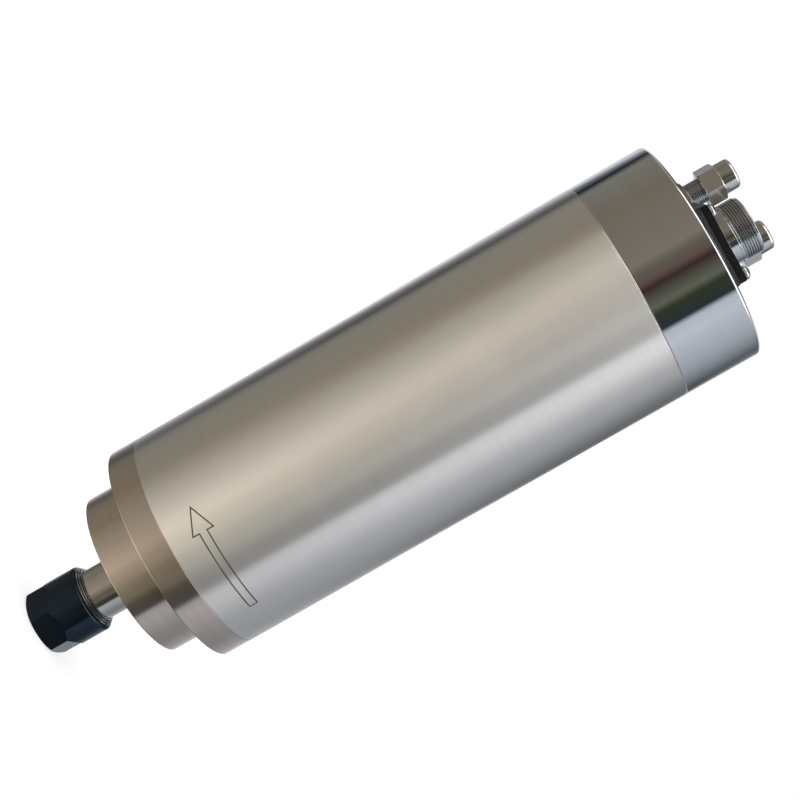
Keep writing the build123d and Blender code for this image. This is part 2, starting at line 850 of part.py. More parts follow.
# Dust cap: thin ring that turns with the shaft in front of its collar
with BuildPart() as dust_cap:
    revolve(
        ring_section(
            neck_diameter / 2 + fit,
            collar_diameter / 2,
            nose_front + dust_cap_recess,
            front_bearing_low - collar_width,
        ),
        axis=Axis.Z,
    )
finish(dust_cap, "dust_cap")

# Bearing rings, balls and cages: the front pair, then the rear pair
front_lows = (front_bearing_low, second_bearing_low)
rear_lows = (rear_bearing_low, fourth_bearing_low)
for end, size, lows in (("front", front_bearing, front_lows), ("rear", rear_bearing, rear_lows)):
    with BuildPart() as inner_rings:
        for low in lows:
            revolve(race_section(size, low, outer=False), axis=Axis.Z)
    finish(inner_rings, f"{end}_inner_rings")

    with BuildPart() as outer_rings:
        for low in lows:
            revolve(race_section(size, low, outer=True), axis=Axis.Z)
    finish(outer_rings, f"{end}_outer_rings")

    with BuildPart() as balls:
        for low in lows:
            add(ball_row(size, low))
    finish(balls, f"{end}_balls")

    with BuildPart() as cages:
        for low in lows:
            add(ball_cage(size, low))
    finish(cages, f"{end}_cages")

# Spacers between the front bearings
spacer_low = front_bearing_low + front_bearing.width
with BuildPart() as inner_spacer:
    revolve(
        ring_section(
            front_bearing.bore / 2,
            front_bearing.pitch_radius - front_bearing.ring_gap,
            spacer_low,
            second_bearing_low,
        ),
        axis=Axis.Z,
    )
finish(inner_spacer, "inner_spacer")

with BuildPart() as outer_spacer:
    revolve(
        ring_section(
            front_bearing.pitch_radius + front_bearing.ring_gap,
            front_bearing.outside / 2 - fit,
            spacer_low,
            second_bearing_low,
        ),
        axis=Axis.Z,
    )
finish(outer_spacer, "outer_spacer")

# Lock nut behind the front bearings, slotted for a hook spanner
with BuildPart() as bearing_lock_nut:
    revolve(
        half_section(
            (front_bearing.bore / 2, front_stack_end),
            (front_bearing.pitch_radius - front_bearing.ring_gap, front_stack_end),
            (lock_nut_diameter / 2, front_stack_end + lock_nut_relief),
            (lock_nut_diameter / 2, lock_nut_end),
            (front_bearing.bore / 2, lock_nut_end),
        ),
        axis=Axis.Z,
    )
    with BuildSketch(Plane.XY.offset(front_stack_end + lock_nut_relief)):
        with PolarLocations(lock_nut_diameter / 2, lock_nut_slots):
            Rectangle(2 * lock_nut_slot[1], lock_nut_slot[0])
    extrude(amount=lock_nut_width, mode=Mode.SUBTRACT)
finish(bearing_lock_nut, "bearing_lock_nut")

# Nut on the rear end of the shaft
with BuildPart() as rear_shaft_nut:
    revolve(
        ring_section(
            rear_bearing.bore / 2, rear_nut_diameter / 2, rear_stack_end, shaft_end - 2 * edge_break
        ),
        axis=Axis.Z,
    )
finish(rear_shaft_nut, "rear_shaft_nut")

# Rotor core: iron pack with closed slots for the bars
with BuildPart() as rotor_core:
    with BuildSketch(Plane.XY.offset(-coil_half)):
        Circle(rotor_radius)
        Circle(shaft_core_radius + fit, mode=Mode.SUBTRACT)
        with PolarLocations(bar_middle, rotor_bars):
            Rectangle(rotor_bar[0] + 2 * fit, rotor_bar[1] + 2 * fit, mode=Mode.SUBTRACT)
    extrude(amount=rotor_length)
finish(rotor_core, "rotor_core")

# Rotor cage: bars cast in one with the two end rings
with BuildPart() as rotor_cage:
    with BuildSketch(Plane.XY.offset(-coil_half)):
        with PolarLocations(bar_middle, rotor_bars):
            Rectangle(*rotor_bar)
    extrude(amount=rotor_length)
    for low in (-coil_half - end_ring_length, coil_half):
        revolve(
            ring_section(
                bar_root - end_ring_web, rotor_radius - end_ring_edge, low, low + end_ring_length
            ),
            axis=Axis.Z,
        )
finish(rotor_cage, "rotor_cage")

# Collet: double cone with a snap groove, slit from both ends in turn
with BuildPart() as collet:
    revolve(
        half_section(
            (tool_diameter / 2, collet_front),
            (collet_ring[0] / 2, collet_front),
            (collet_ring[0] / 2, collet_ring_end),
            (collet_groove[0] / 2, collet_ring_end),
            (collet_groove[0] / 2, collet_groove_end),
            (collet_shoulder_diameter / 2, collet_groove_end),
            (collet_radius, collet_land_low),
            (collet_radius, collet_land_high),
            (collet_tail_radius, collet_end),
            (tool_relief_diameter / 2, collet_end),
            (tool_relief_diameter / 2, collet_front + tool_grip_length),
            (tool_diameter / 2, collet_front + tool_grip_length),
        ),
        axis=Axis.Z,
    )
    slit_step = 360 / collet_slits
    with BuildSketch(Plane.XY.offset(collet_front)):
        with PolarLocations(collet_radius / 2, collet_slits):
            Rectangle(collet_radius + collet_slit, collet_slit)
    extrude(amount=collet_length - collet_web, mode=Mode.SUBTRACT)
    with BuildSketch(Plane.XY.offset(collet_end)):
        with PolarLocations(collet_radius / 2, collet_slits, start_angle=slit_step / 2):
            Rectangle(collet_radius + collet_slit, collet_slit)
    extrude(amount=-(collet_length - collet_web), mode=Mode.SUBTRACT)
finish(collet, "collet")

# Collet nut: round body whose front end is milled to a hexagon
nut_mouth_end = collet_ring_end + nut_lip_gap
nut_lip_end = nut_mouth_end + nut_lip_width
cone_offset = 2 * taper_gap
cone_start_radius = (
    collet_shoulder_diameter / 2
    + (nut_lip_end - collet_groove_end) * tan(radians(collet_front_angle))
    + cone_offset
)
nut_thread_radius = thread_radius + thread_gap
relief_end = shaft_front - nut_thread_relief[0]
cone_top_radius = collet_radius + nut_cone_relief
cone_end = nut_lip_end + (cone_top_radius - cone_start_radius) / tan(radians(collet_front_angle))
with BuildPart() as collet_nut:
    revolve(
        half_section(
            (nut_mouth_diameter / 2, nut_front),
            (nut_radius - nut_front_chamfer[0], nut_front),
            (nut_radius, nut_front + nut_front_chamfer[1]),
            (nut_radius, nut_rear - nut_rear_bevel),
            (nut_thread_radius + edge_break, nut_rear),
            (nut_thread_radius, nut_rear - edge_break),
            (nut_thread_radius, relief_end),
            (cone_top_radius, relief_end - nut_thread_relief[1]),
            (cone_top_radius, cone_end),
            (cone_start_radius, nut_lip_end),
            (nut_lip_diameter / 2, nut_lip_end),
            (nut_lip_diameter / 2, nut_mouth_end),
            (nut_mouth_diameter / 2, nut_mouth_end),
        ),
        axis=Axis.Z,
    )
    for side in range(6):
        direction = nut_flat_direction + side * 60
        flat_x, flat_y = on_circle(nut_flats / 2, direction)
        outward = (*on_circle(1, direction), 0)
        flat_plane = Plane(origin=(flat_x, flat_y, nut_front), x_dir=(0, 0, 1), z_dir=outward)
        arc_centre = nut_flat_length - nut_cutter_diameter / 2
        with BuildSketch(flat_plane):
            with Locations((arc_centre, 0)):
                Circle(nut_cutter_diameter / 2)
            with Locations((arc_centre - nut_cutter_diameter / 2, 0)):
                Rectangle(nut_cutter_diameter, nut_cutter_diameter)
        extrude(amount=nut_radius, mode=Mode.SUBTRACT)
finish(collet_nut, "collet_nut")
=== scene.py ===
"""Looks of a liquid-cooled motor spindle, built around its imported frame."""
import json
import logging
import math
from dataclasses import dataclass
from enum import Enum
from functools import cache
from typing import Iterable, Optional, Sequence, Union

import bmesh
import bpy
from mathutils import Matrix, Vector


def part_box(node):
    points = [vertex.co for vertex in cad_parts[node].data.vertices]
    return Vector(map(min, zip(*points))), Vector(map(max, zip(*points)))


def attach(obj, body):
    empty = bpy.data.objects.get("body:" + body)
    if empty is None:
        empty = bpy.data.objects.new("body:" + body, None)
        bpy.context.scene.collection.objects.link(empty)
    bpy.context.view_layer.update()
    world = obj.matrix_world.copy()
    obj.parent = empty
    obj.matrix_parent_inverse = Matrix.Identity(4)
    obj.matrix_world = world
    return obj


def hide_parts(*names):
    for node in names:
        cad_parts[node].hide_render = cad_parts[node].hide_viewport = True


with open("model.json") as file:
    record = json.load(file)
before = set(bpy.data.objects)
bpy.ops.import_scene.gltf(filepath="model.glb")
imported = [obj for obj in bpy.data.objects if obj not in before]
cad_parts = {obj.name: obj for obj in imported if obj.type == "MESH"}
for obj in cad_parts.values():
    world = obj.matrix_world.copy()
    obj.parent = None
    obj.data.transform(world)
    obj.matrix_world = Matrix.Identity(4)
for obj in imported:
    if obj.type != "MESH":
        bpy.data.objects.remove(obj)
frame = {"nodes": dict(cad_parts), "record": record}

LOG = logging.getLogger("spindle")
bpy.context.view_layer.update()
MM = 0.001
BODY_OF = {node: body for body, nodes in frame["record"]["behaviour"]["bodies"].items()
           for node in nodes}
SLOT_OF = {part["node"]: part["material_slot"] for part in frame["record"]["subparts"]}

# Facets in a full turn
BODY_STEPS = 240
NUT_STEPS = 144
SHAFT_STEPS = 120
SOCKET_STEPS = 96
SMALL_STEPS = 72
HOLE_STEPS = 48
PIN_STEPS = 40

CREASE_ANGLE = 32.0  # degrees between two faces, past which their edge stays sharp
REACH = 1.0  # millimetres that a cutting tool reaches past a face
FOUR_CORNERS = (45.0, 135.0, 225.0, 315.0)  # degrees
QUARTER_TURN = 0.25
UPRIGHT = (0.0, 0.0, 1.0)
FLOAT_SOCKET = "NodeSocketFloat"
HEIGHT_AND_TONE = ("Height", "Tone")

# Millimetres, or shares of a thread's pitch
MERGE_DISTANCE = 0.0005
SAME_HEIGHT = 0.0001
THREAD_SUNK = 0.15
THREAD_FOOT_SHARE = 0.48
THREAD_CREST_SHARE = 0.27

Mesh = bmesh.types.BMesh
Socket = bpy.types.NodeSocket
Colour = tuple[float, float, float]
Place = tuple[float, float]
Value = Union[float, tuple, Socket]
# Radius and height of a turned outline's corner, and where its rounding starts if it has one
Corner = Union[tuple[float, float], tuple[float, float, float]]
# Direction from the front in degrees, and how bright the room is there
Wall = tuple[float, Colour]


# Shader graphs


class Graph:
    """A node tree with short ways to add and wire its nodes."""

    def __init__(self, tree: bpy.types.NodeTree) -> None:
        """Keeps the tree that the nodes go into."""
        self.tree = tree

    def node(self, kind: str, inputs: Optional[dict[Union[str, int], Value]] = None,
             **settings: object) -> bpy.types.Node:
        """Adds a node.

        Args:
            kind: the node's type name, without its ShaderNode prefix.
            inputs: socket's name or number to a plain value or to the socket that feeds it.
            settings: properties of the node itself.

        Returns:
            The new node.
        """
        node = self.tree.nodes.new("ShaderNode" + kind)
        for name, setting in settings.items():
            setattr(node, name, setting)
        for name, value in (inputs or {}).items():
            self.feed(node.inputs[name], value)
        return node

    def feed(self, socket: Socket, value: Value) -> None:
        """Sets a socket, or wires it.

        Args:
            socket: the input socket.
            value: a number, a tuple or another node's output socket.
        """
        if isinstance(value, Socket):
            self.tree.links.new(value, socket)
        elif isinstance(value, tuple) and len(value) == 3 and socket.type == "RGBA":
            socket.default_value = (*value, 1.0)
        else:
            socket.default_value = value

    def math(self, operation: str, first: Value, second: Value = 0.0) -> Socket:
        """Works out one number from two."""
        return self.node("Math", {0: first, 1: second}, operation=operation).outputs[0]

    def vector(self, operation: str, first: Value, second: Value = (0.0, 0.0, 0.0)) -> Socket:
        """Works out one vector from two."""
        return self.node("VectorMath", {0: first, 1: second}, operation=operation).outputs[0]

    def scaled(self, vector: Value, factor: Value) -> Socket:
        """Multiplies a vector or a colour by a number."""
        return self.node("VectorMath", {0: vector, "Scale": factor}, operation="SCALE").outputs[0]

    def blend(self, share: Value, first: Value, second: Value) -> Socket:
        """Mixes two colours, from all of the first at share 0 to all of the second at 1."""
        return self.node("Mix", {"Factor": share, 6: first, 7: second}, data_type="RGBA").outputs[2]

    def rise(self, value: Value, low: float, high: float) -> Socket:
        """Rises smoothly from 0 where the value is low to 1 where it is high."""
        return self.node("MapRange", {"Value": value, "From Min": low, "From Max": high},
                         interpolation_type="SMOOTHSTEP").outputs["Result"]

    def noise(self, place: Value, scale: Value, detail: float, **more: float) -> Socket:
        """Adds a noise texture; more holds its other inputs by name."""
        given = {"Vector": place, "Scale": scale, "Detail": detail, **more}
        return self.node("TexNoise", given).outputs[0]


class EffectGroups:
    """Shader node groups that several finishes share, each built once."""

    @staticmethod
    def _start(name: str, inputs: dict[str, float], outputs: Sequence[str]) -> tuple:
        """Opens a new group.

        Args:
            name: the group's name.
            inputs: names and defaults of its float inputs.
            outputs: names of its float outputs.

        Returns:
            The group, its graph, the values given to it, its results and the place on the piece.
        """
        group = bpy.data.node_groups.new(name, "ShaderNodeTree")
        for title, default in inputs.items():
            socket = group.interface.new_socket(
                name=title, in_out="INPUT", socket_type=FLOAT_SOCKET)
            socket.default_value = default
        for title in outputs:
            group.interface.new_socket(name=title, in_out="OUTPUT", socket_type=FLOAT_SOCKET)
        given = group.nodes.new("NodeGroupInput").outputs
        results = group.nodes.new("NodeGroupOutput").inputs
        graph = Graph(group)
        return group, graph, given, results, graph.node("TexCoord").outputs["Object"]

    @classmethod
    @cache
    def machined_grain(cls) -> bpy.types.NodeTree:
        """Fine tool marks: noise drawn out round the axis or along it, in two sizes.

        Returns:
            The group, with outputs Height and Tone.
        """
        group, graph, given, results, place = cls._start(
            "machined grain", {"Around": 20.0, "Along": 4000.0, "Coarseness": 0.25},
            HEIGHT_AND_TONE)
        around = given["Around"]
        stretch = graph.node("CombineXYZ", {"X": around, "Y": around, "Z": given["Along"]})
        fine_place = graph.vector("MULTIPLY", place, stretch.outputs[0])
        fine = graph.noise(fine_place, 1.0, 2.0)
        coarse = graph.noise(graph.scaled(fine_place, given["Coarseness"]), 1.0, 1.0)
        both = graph.math("ADD", fine, coarse)
        graph.feed(results["Height"], graph.math("MULTIPLY", both, 0.5))
        graph.feed(results["Tone"], graph.rise(coarse, 0.3, 0.7))
        return group

    @classmethod
    @cache
    def cast_grain(cls) -> bpy.types.NodeTree:
        """Even fine grain of a moulded or cast skin.

        Returns:
            The group, with outputs Height and Tone.
        """
        group, graph, given, results, place = cls._start(
            "cast grain", {"Scale": 1500.0}, HEIGHT_AND_TONE)
        grain = graph.noise(place, given["Scale"], 3.0)
        graph.feed(results["Height"], grain)
        graph.feed(results["Tone"], graph.rise(grain, 0.35, 0.65))
        return group

    @classmethod
    @cache
    def layered_lines(cls) -> bpy.types.NodeTree:
        """Even lines across the axis, as in stacked sheets or wound wire.

        Returns:
            The group, with outputs Height and Tone.
        """
        group, graph, given, results, place = cls._start(
            "layered lines", {"Lines per metre": 1500.0}, HEIGHT_AND_TONE)
        along = graph.node("SeparateXYZ", {"Vector": place}).outputs["Z"]
        wave = graph.math("PINGPONG", graph.math("MULTIPLY", along, given["Lines per metre"]), 0.5)
        graph.feed(results["Height"], wave)
        graph.feed(results["Tone"], graph.rise(wave, 0.0, 0.35))
        return group

    @classmethod
    @cache
    def handling(cls) -> bpy.types.NodeTree:
        """Soft smears and faint prints left by handling, with a little dust.

        Returns:
            The group, with output Mask.
        """
        group, graph, given, results, place = cls._start(
            "handling marks", {"Scale": 45.0, "Spread": 0.5}, ("Mask",))
        cloud = graph.noise(place, given["Scale"], 4.0, Roughness=0.6, Distortion=0.6)
        raised = graph.math("ADD", cloud, given["Spread"])
        graph.feed(results["Mask"], graph.rise(raised, 0.9, 1.3))
        return group


class Grain(Enum):
    """How a surface was worked."""

    TURNED = "rings round the axis"
    SATIN = "short scratches round the axis"
    MIRROR = "polished bright"
    CAST = "moulded or cast skin"
    SHEETS = "stacked sheets"
    WIRE = "wound wire"


GRAIN_GROUPS = {
    Grain.TURNED: (EffectGroups.machined_grain,
                   {"Around": 12.0, "Along": 5200.0, "Coarseness": 0.3}),
    Grain.SATIN: (EffectGroups.machined_grain,
                  {"Around": 140.0, "Along": 6000.0, "Coarseness": 0.22}),
    Grain.MIRROR: (EffectGroups.machined_grain,
                   {"Around": 6.0, "Along": 900.0, "Coarseness": 0.2}),
    Grain.CAST: (EffectGroups.cast_grain, {"Scale": 1600.0}),
    Grain.SHEETS: (EffectGroups.layered_lines, {"Lines per metre": 2000.0}),
    Grain.WIRE: (EffectGroups.layered_lines, {"Lines per metre": 1100.0}),
}


@dataclass(frozen=True)
class Finish:
    """The look of one surface.

    Args:
        name: the material's name.
        colour: its own colour, linear.
        worn: its colour where tone marks show.
        roughness: mean roughness.
        grain: how the surface was worked.
        metallic: 1 for bare metal, and less where a coat covers it.
        relief: height of the grain in metres.
        stretch: how far a highlight is drawn out along the axis, from 0 to 1.
        smear: how much handling changes the roughness.
        unevenness: how much the grain changes the roughness.
        shine: strength of the clear reflection of a surface that isn't bare metal.
    """

    name: str
    colour: Colour
    worn: Colour
    roughness: float
    grain: Grain = Grain.TURNED
    metallic: float = 1.0
    relief: float = 2e-6
    stretch: float = 0.0
    smear: float = 0.05
    unevenness: float = 0.06
    shine: float = 0.5

    @cache
    def material(self) -> bpy.types.Material:
        """Builds the material, once.

        Returns:
            The material.
        """
        material = bpy.data.materials.new(self.name)
        material.use_nodes = True
        graph = Graph(material.node_tree)
        shader = material.node_tree.nodes["Principled BSDF"].inputs
        builder, values = GRAIN_GROUPS[self.grain]
        grain = graph.node("Group", values, node_tree=builder()).outputs
        marks = graph.node("Group", node_tree=EffectGroups.handling()).outputs["Mask"]
        shade = graph.blend(grain["Tone"], self.colour, self.worn)
        graph.feed(shader["Base Color"], graph.blend(marks, shade, self.worn))
        uneven = graph.math("MULTIPLY", grain["Tone"], self.unevenness)
        smeared = graph.math("MULTIPLY", marks, self.smear)
        rough = graph.math("ADD", graph.math("ADD", uneven, smeared), self.roughness)
        graph.feed(shader["Roughness"], rough)
        shader["Metallic"].default_value = self.metallic
        shader["Specular IOR Level"].default_value = self.shine
        bump = graph.node("Bump", {"Height": grain["Height"], "Distance": self.relief,
                                   "Strength": 1.0})
        graph.feed(shader["Normal"], bump.outputs["Normal"])
        if self.stretch:
            shader["Anisotropic"].default_value = self.stretch
            shader["Anisotropic Rotation"].default_value = QUARTER_TURN
            tangent = graph.node("Tangent", direction_type="RADIAL", axis="Z")
            graph.feed(shader["Tangent"], tangent.outputs[0])
        return material


SLOT_FINISHES = {
    "nose_steel": Finish(
        "turned nose steel", (0.66, 0.57, 0.50), (0.62, 0.53, 0.46), 0.18,
        relief=4e-7, stretch=0.9, smear=0.02, unevenness=0.02),
    "barrel_steel": Finish(
        "satin barrel steel", (0.83, 0.80, 0.76), (0.80, 0.77, 0.73), 0.30, Grain.SATIN,
        relief=2.5e-7, stretch=0.95, smear=0.02, unevenness=0.02),
    "cap_chrome": Finish(
        "mirror cap chrome", (0.74, 0.74, 0.74), (0.70, 0.70, 0.70), 0.035, Grain.MIRROR,
        relief=4e-7, smear=0.03, unevenness=0.01),
    "socket_chrome": Finish(
        "socket chrome", (0.70, 0.71, 0.72), (0.62, 0.63, 0.64), 0.08, relief=3e-7),
    "fitting_nickel": Finish(
        "fitting nickel", (0.70, 0.70, 0.68), (0.60, 0.59, 0.56), 0.10, relief=3e-7),
    "nut_black": Finish(
        "black oxide", (0.019, 0.032, 0.050), (0.023, 0.037, 0.056), 0.10,
        metallic=0.85, relief=2e-7, unevenness=0.03),
    "ground_steel": Finish(
        "ground steel", (0.60, 0.58, 0.55), (0.54, 0.52, 0.49), 0.12,
        relief=3e-7, stretch=0.8, smear=0.02, unevenness=0.02),
    "black_steel": Finish(
        "blackened screw steel", (0.03, 0.03, 0.032), (0.06, 0.06, 0.06), 0.38, metallic=0.4),
    "screw_zinc": Finish(
        "zinc screw plate", (0.66, 0.67, 0.69), (0.52, 0.53, 0.55), 0.14, Grain.CAST),
    "core_iron": Finish(
        "core sheets", (0.20, 0.20, 0.21), (0.10, 0.10, 0.10), 0.45, Grain.SHEETS, relief=5e-5),
    "winding_copper": Finish(
        "lacquered copper", (0.60, 0.25, 0.10), (0.35, 0.13, 0.05), 0.25, Grain.WIRE, relief=2e-4),
    "cast_aluminium": Finish(
        "machined aluminium", (0.72, 0.73, 0.74), (0.62, 0.63, 0.64), 0.28),
    "seal_rubber": Finish(
        "seal rubber", (0.012, 0.012, 0.013), (0.022, 0.022, 0.022), 0.62, Grain.CAST,
        metallic=0.0, relief=2e-5),
    "insert_black": Finish(
        "moulded insert", (0.020, 0.020, 0.022), (0.03, 0.03, 0.03), 0.45, Grain.CAST,
        metallic=0.0, relief=1e-5),
    "pin_brass": Finish("gilt pins", (0.85, 0.62, 0.28), (0.72, 0.50, 0.22), 0.15),
    "cage_resin": Finish(
        "cage resin", (0.30, 0.16, 0.06), (0.20, 0.10, 0.04), 0.5, Grain.CAST, metallic=0.0),
}
NUT_BARE = Finish("worn bevel steel", (0.46, 0.48, 0.53), (0.34, 0.36, 0.40), 0.16, relief=8e-7)
# Painted dark reflection: the chrome flange's side faces get a near-black, non-metal colour that
# stands in for the dark room they would mirror.
FLANGE_SIDE_PAINTED_REFLECTION = Finish(
    "flange side painted dark reflection", (0.004, 0.004, 0.005), (0.008, 0.008, 0.009), 0.42, Grain.CAST,
    metallic=0.0, relief=1e-6, shine=0.15)
THREAD_METAL = Finish("rolled thread", (0.52, 0.53, 0.55), (0.44, 0.45, 0.46), 0.20, relief=3e-7)
ETCHING = Finish(
    "etched line", (0.040, 0.034, 0.026), (0.065, 0.056, 0.045), 0.55, Grain.CAST, metallic=0.2)


# Modelling, in millimetres until a piece is finished


def turned(corners: Sequence[Corner], centre: Place = (0.0, 0.0), steps: int = BODY_STEPS) -> Mesh:
    """Turns a closed outline about an upright axis.

    Args:
        corners: the outline, in order; two of them may lie on the axis.
        centre: where the axis stands.
        steps: facets in a full turn.

    Returns:
        The turned solid.
    """
    bm = bmesh.new()
    verts = [bm.verts.new((centre[0] + radius, centre[1], height))
             for radius, height, *_ in corners]
    solid = all(corner[0] > 0 for corner in corners)
    for pair in list(zip(verts, verts[1:])) + ([(verts[-1], verts[0])] if solid else []):
        bm.edges.new(pair)
    for vert, (_, _, *rounding) in zip(verts, corners):
        if rounding:
            bmesh.ops.bevel(bm, geom=[vert], offset=rounding[0], offset_type="OFFSET", segments=4,
                            profile=0.5, affect="VERTICES", material=-1)
    bmesh.ops.spin(bm, geom=bm.verts[:] + bm.edges[:], cent=(*centre, 0.0), axis=UPRIGHT,
                   angle=2 * math.pi, steps=steps, use_merge=True)
    bmesh.ops.remove_doubles(bm, verts=bm.verts, dist=MERGE_DISTANCE)
    bmesh.ops.recalc_face_normals(bm, faces=bm.faces)
    return bm


def extruded(bm: Mesh, height: float) -> Mesh:
    """Draws a mesh's flat faces up into a solid.

    Args:
        bm: the mesh, which is changed.
        height: how far up the faces are drawn.

    Returns:
        The same mesh.
    """
    grown = bmesh.ops.extrude_face_region(bm, geom=bm.faces[:])["geom"]
    bmesh.ops.translate(bm, vec=(0, 0, height),
                        verts=[g for g in grown if isinstance(g, bmesh.types.BMVert)])
    bmesh.ops.recalc_face_normals(bm, faces=bm.faces)
    return bm


def stood(centre: Place, height: float, turn: float) -> Matrix:
    """Place of a piece turned about its upright axis, in degrees, and stood somewhere."""
    return Matrix.Translation((*centre, height)) @ Matrix.Rotation(math.radians(turn), 4, "Z")


def prism(sides: int, radius: float, low: float, high: float, centre: Place = (0.0, 0.0),
          turn: float = 0.0) -> Mesh:
    """Makes an upright prism or cylinder.

    Args:
        sides: number of sides.
        radius: distance from the axis to a corner.
        low: height of its lower face.
        high: height of its upper face.
        centre: where its axis stands.
        turn: direction of its first corner from the Y axis, in degrees.

    Returns:
        The solid.
    """
    bm = bmesh.new()
    bmesh.ops.create_circle(bm, cap_ends=True, segments=sides, radius=radius,
                            matrix=stood(centre, low, turn))
    return extruded(bm, high - low)


def as_object(bm: Mesh, name: str) -> bpy.types.Object:
    """Turns a bmesh into a linked object and frees it.

    Args:
        bm: the mesh.
        name: the object's name.

    Returns:
        The object.
    """
    mesh = bpy.data.meshes.new(name)
    bm.to_mesh(mesh)
    bm.free()
    made = bpy.data.objects.new(name, mesh)
    bpy.context.scene.collection.objects.link(made)
    return made


def combined(base: Mesh, tools: Iterable[Mesh], operation: str) -> Mesh:
    """Cuts, joins or intersects solids.

    Args:
        base: the solid to work on, which is freed.
        tools: the solids to apply, which are freed.
        operation: DIFFERENCE, UNION or INTERSECT.

    Returns:
        The new solid.
    """
    work = as_object(base, "work")
    helpers = [as_object(tool, "tool") for tool in tools]
    for helper in helpers:
        step = work.modifiers.new("step", "BOOLEAN")
        step.operation = operation
        step.solver = "EXACT"
        step.object = helper
    bpy.context.view_layer.update()
    finished = work.evaluated_get(bpy.context.evaluated_depsgraph_get())
    result = bpy.data.meshes.new_from_object(finished)
    bm = bmesh.new()
    bm.from_mesh(result)
    bpy.data.meshes.remove(result)
    for used in [work, *helpers]:
        mesh = used.data
        bpy.data.objects.remove(used)
        bpy.data.meshes.remove(mesh)
    return bm


def gathered(meshes: Iterable[Mesh]) -> Mesh:
    """Puts several separate solids into one mesh.

    Args:
        meshes: the solids, which are freed.

    Returns:
        One mesh with all of them.
    """
    whole = bmesh.new()
    for bm in meshes:
        carrier = bpy.data.meshes.new("carrier")
        bm.to_mesh(carrier)
        bm.free()
        whole.from_mesh(carrier)
        bpy.data.meshes.remove(carrier)
    return whole


def thread_ridge(root: float, crest: float, pitch: float, low: float, high: float,
                 centre: Place = (0.0, 0.0), steps: int = SMALL_STEPS, slot: int = 1) -> Mesh:
    """Winds one flat-topped ridge up a screw line, its foot sunk into the core.

    Args:
        root: radius at the foot of the ridge.
        crest: radius at its crest.
        pitch: rise in one turn.
        low: height where the ridge starts.
        high: height where it ends.
        centre: where the axis stands.
        steps: facets in a full turn.
        slot: material index of its faces.

    Returns:
        The closed ridge.
    """
    sunk = root - THREAD_SUNK
    foot_half, crest_half = pitch * THREAD_FOOT_SHARE, pitch * THREAD_CREST_SHARE
    count = round(steps * ((high - low) / pitch - 1.0))
    bm = bmesh.new()
    profile = ((sunk, -foot_half), (root, -foot_half), (crest, -crest_half),
               (crest, crest_half), (root, foot_half), (sunk, foot_half))
    foot = bm.faces.new([bm.verts.new((centre[0] + radius, centre[1], low + foot_half + rise))
                         for radius, rise in profile])
    bmesh.ops.spin(bm, geom=[foot], cent=(*centre, 0.0), axis=UPRIGHT, steps=count,
                   dvec=(0.0, 0.0, pitch / steps), angle=math.radians(360.0 * count / steps))
    bmesh.ops.recalc_face_normals(bm, faces=bm.faces)
    for face in bm.faces:
        face.material_index = slot
    return bm


def hexagon(flats: float, low: float, high: float, centre: Place, direction: float,
            bevel: float) -> Mesh:
    """Makes a hexagonal nut body with its corners turned off at a slope.

    Args:
        flats: size across the flats.
        low: height of its lower face.
        high: height of its upper face.
        centre: where its axis stands.
        direction: direction that one flat faces, in degrees.
        bevel: how far in from a corner the slope starts.

    Returns:
        The solid.
    """
    corner = flats / 2 / math.cos(math.radians(30))
    body = prism(6, corner, low, high, centre, direction)
    outline = [(0.0, low), (corner - bevel, low), (corner, low + bevel / 2),
               (corner, high - bevel / 2), (corner - bevel, high), (0.0, high)]
    return combined(body, [turned(outline, centre, SMALL_STEPS)], "INTERSECT")


def put_on_show(bm: Mesh, name: str, node: str, finishes: Sequence[Finish] = (),
                replaces: bool = True) -> None:
    """Finishes a piece: scales it to metres, shades it, dresses it and ties it to its body.

    Args:
        bm: the piece in millimetres, which is freed.
        name: the piece's name.
        node: the frame's node whose body and slot it takes.
        finishes: one for each material index of its faces, or none for its slot's own.
        replaces: whether it stands for the node.
    """
    bmesh.ops.scale(bm, vec=(MM, MM, MM), verts=bm.verts)
    for face in bm.faces:
        face.smooth = True
    made = as_object(bm, name)
    made.data.set_sharp_from_angle(angle=math.radians(CREASE_ANGLE))
    flat = made.modifiers.new("true faces", "WEIGHTED_NORMAL")
    flat.mode = "FACE_AREA"
    flat.keep_sharp = True
    for finish in finishes or [SLOT_FINISHES[SLOT_OF[node]]]:
        made.data.materials.append(finish.material())
    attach(made, BODY_OF[node])
    if replaces:
        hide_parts(node)
    LOG.info("%s rides on %s with %d faces", name, BODY_OF[node], len(made.data.polygons))


def span(node: str) -> tuple[float, float]:
    """Lowest and highest height of a node of the frame, in millimetres."""
    low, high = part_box(node)
    return low.z / MM, high.z / MM


def middle(node: str) -> Place:
    """Place of a node's upright middle line, in millimetres."""
    low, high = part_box(node)
    return (low.x + high.x) / 2 / MM, (low.y + high.y) / 2 / MM


def on_circle(radius: float, angle: float) -> Place:
    """Point at a radius and an angle in degrees about the axis."""
    return radius * math.cos(math.radians(angle)), radius * math.sin(math.radians(angle))


# The spindle's own sub-assemblies


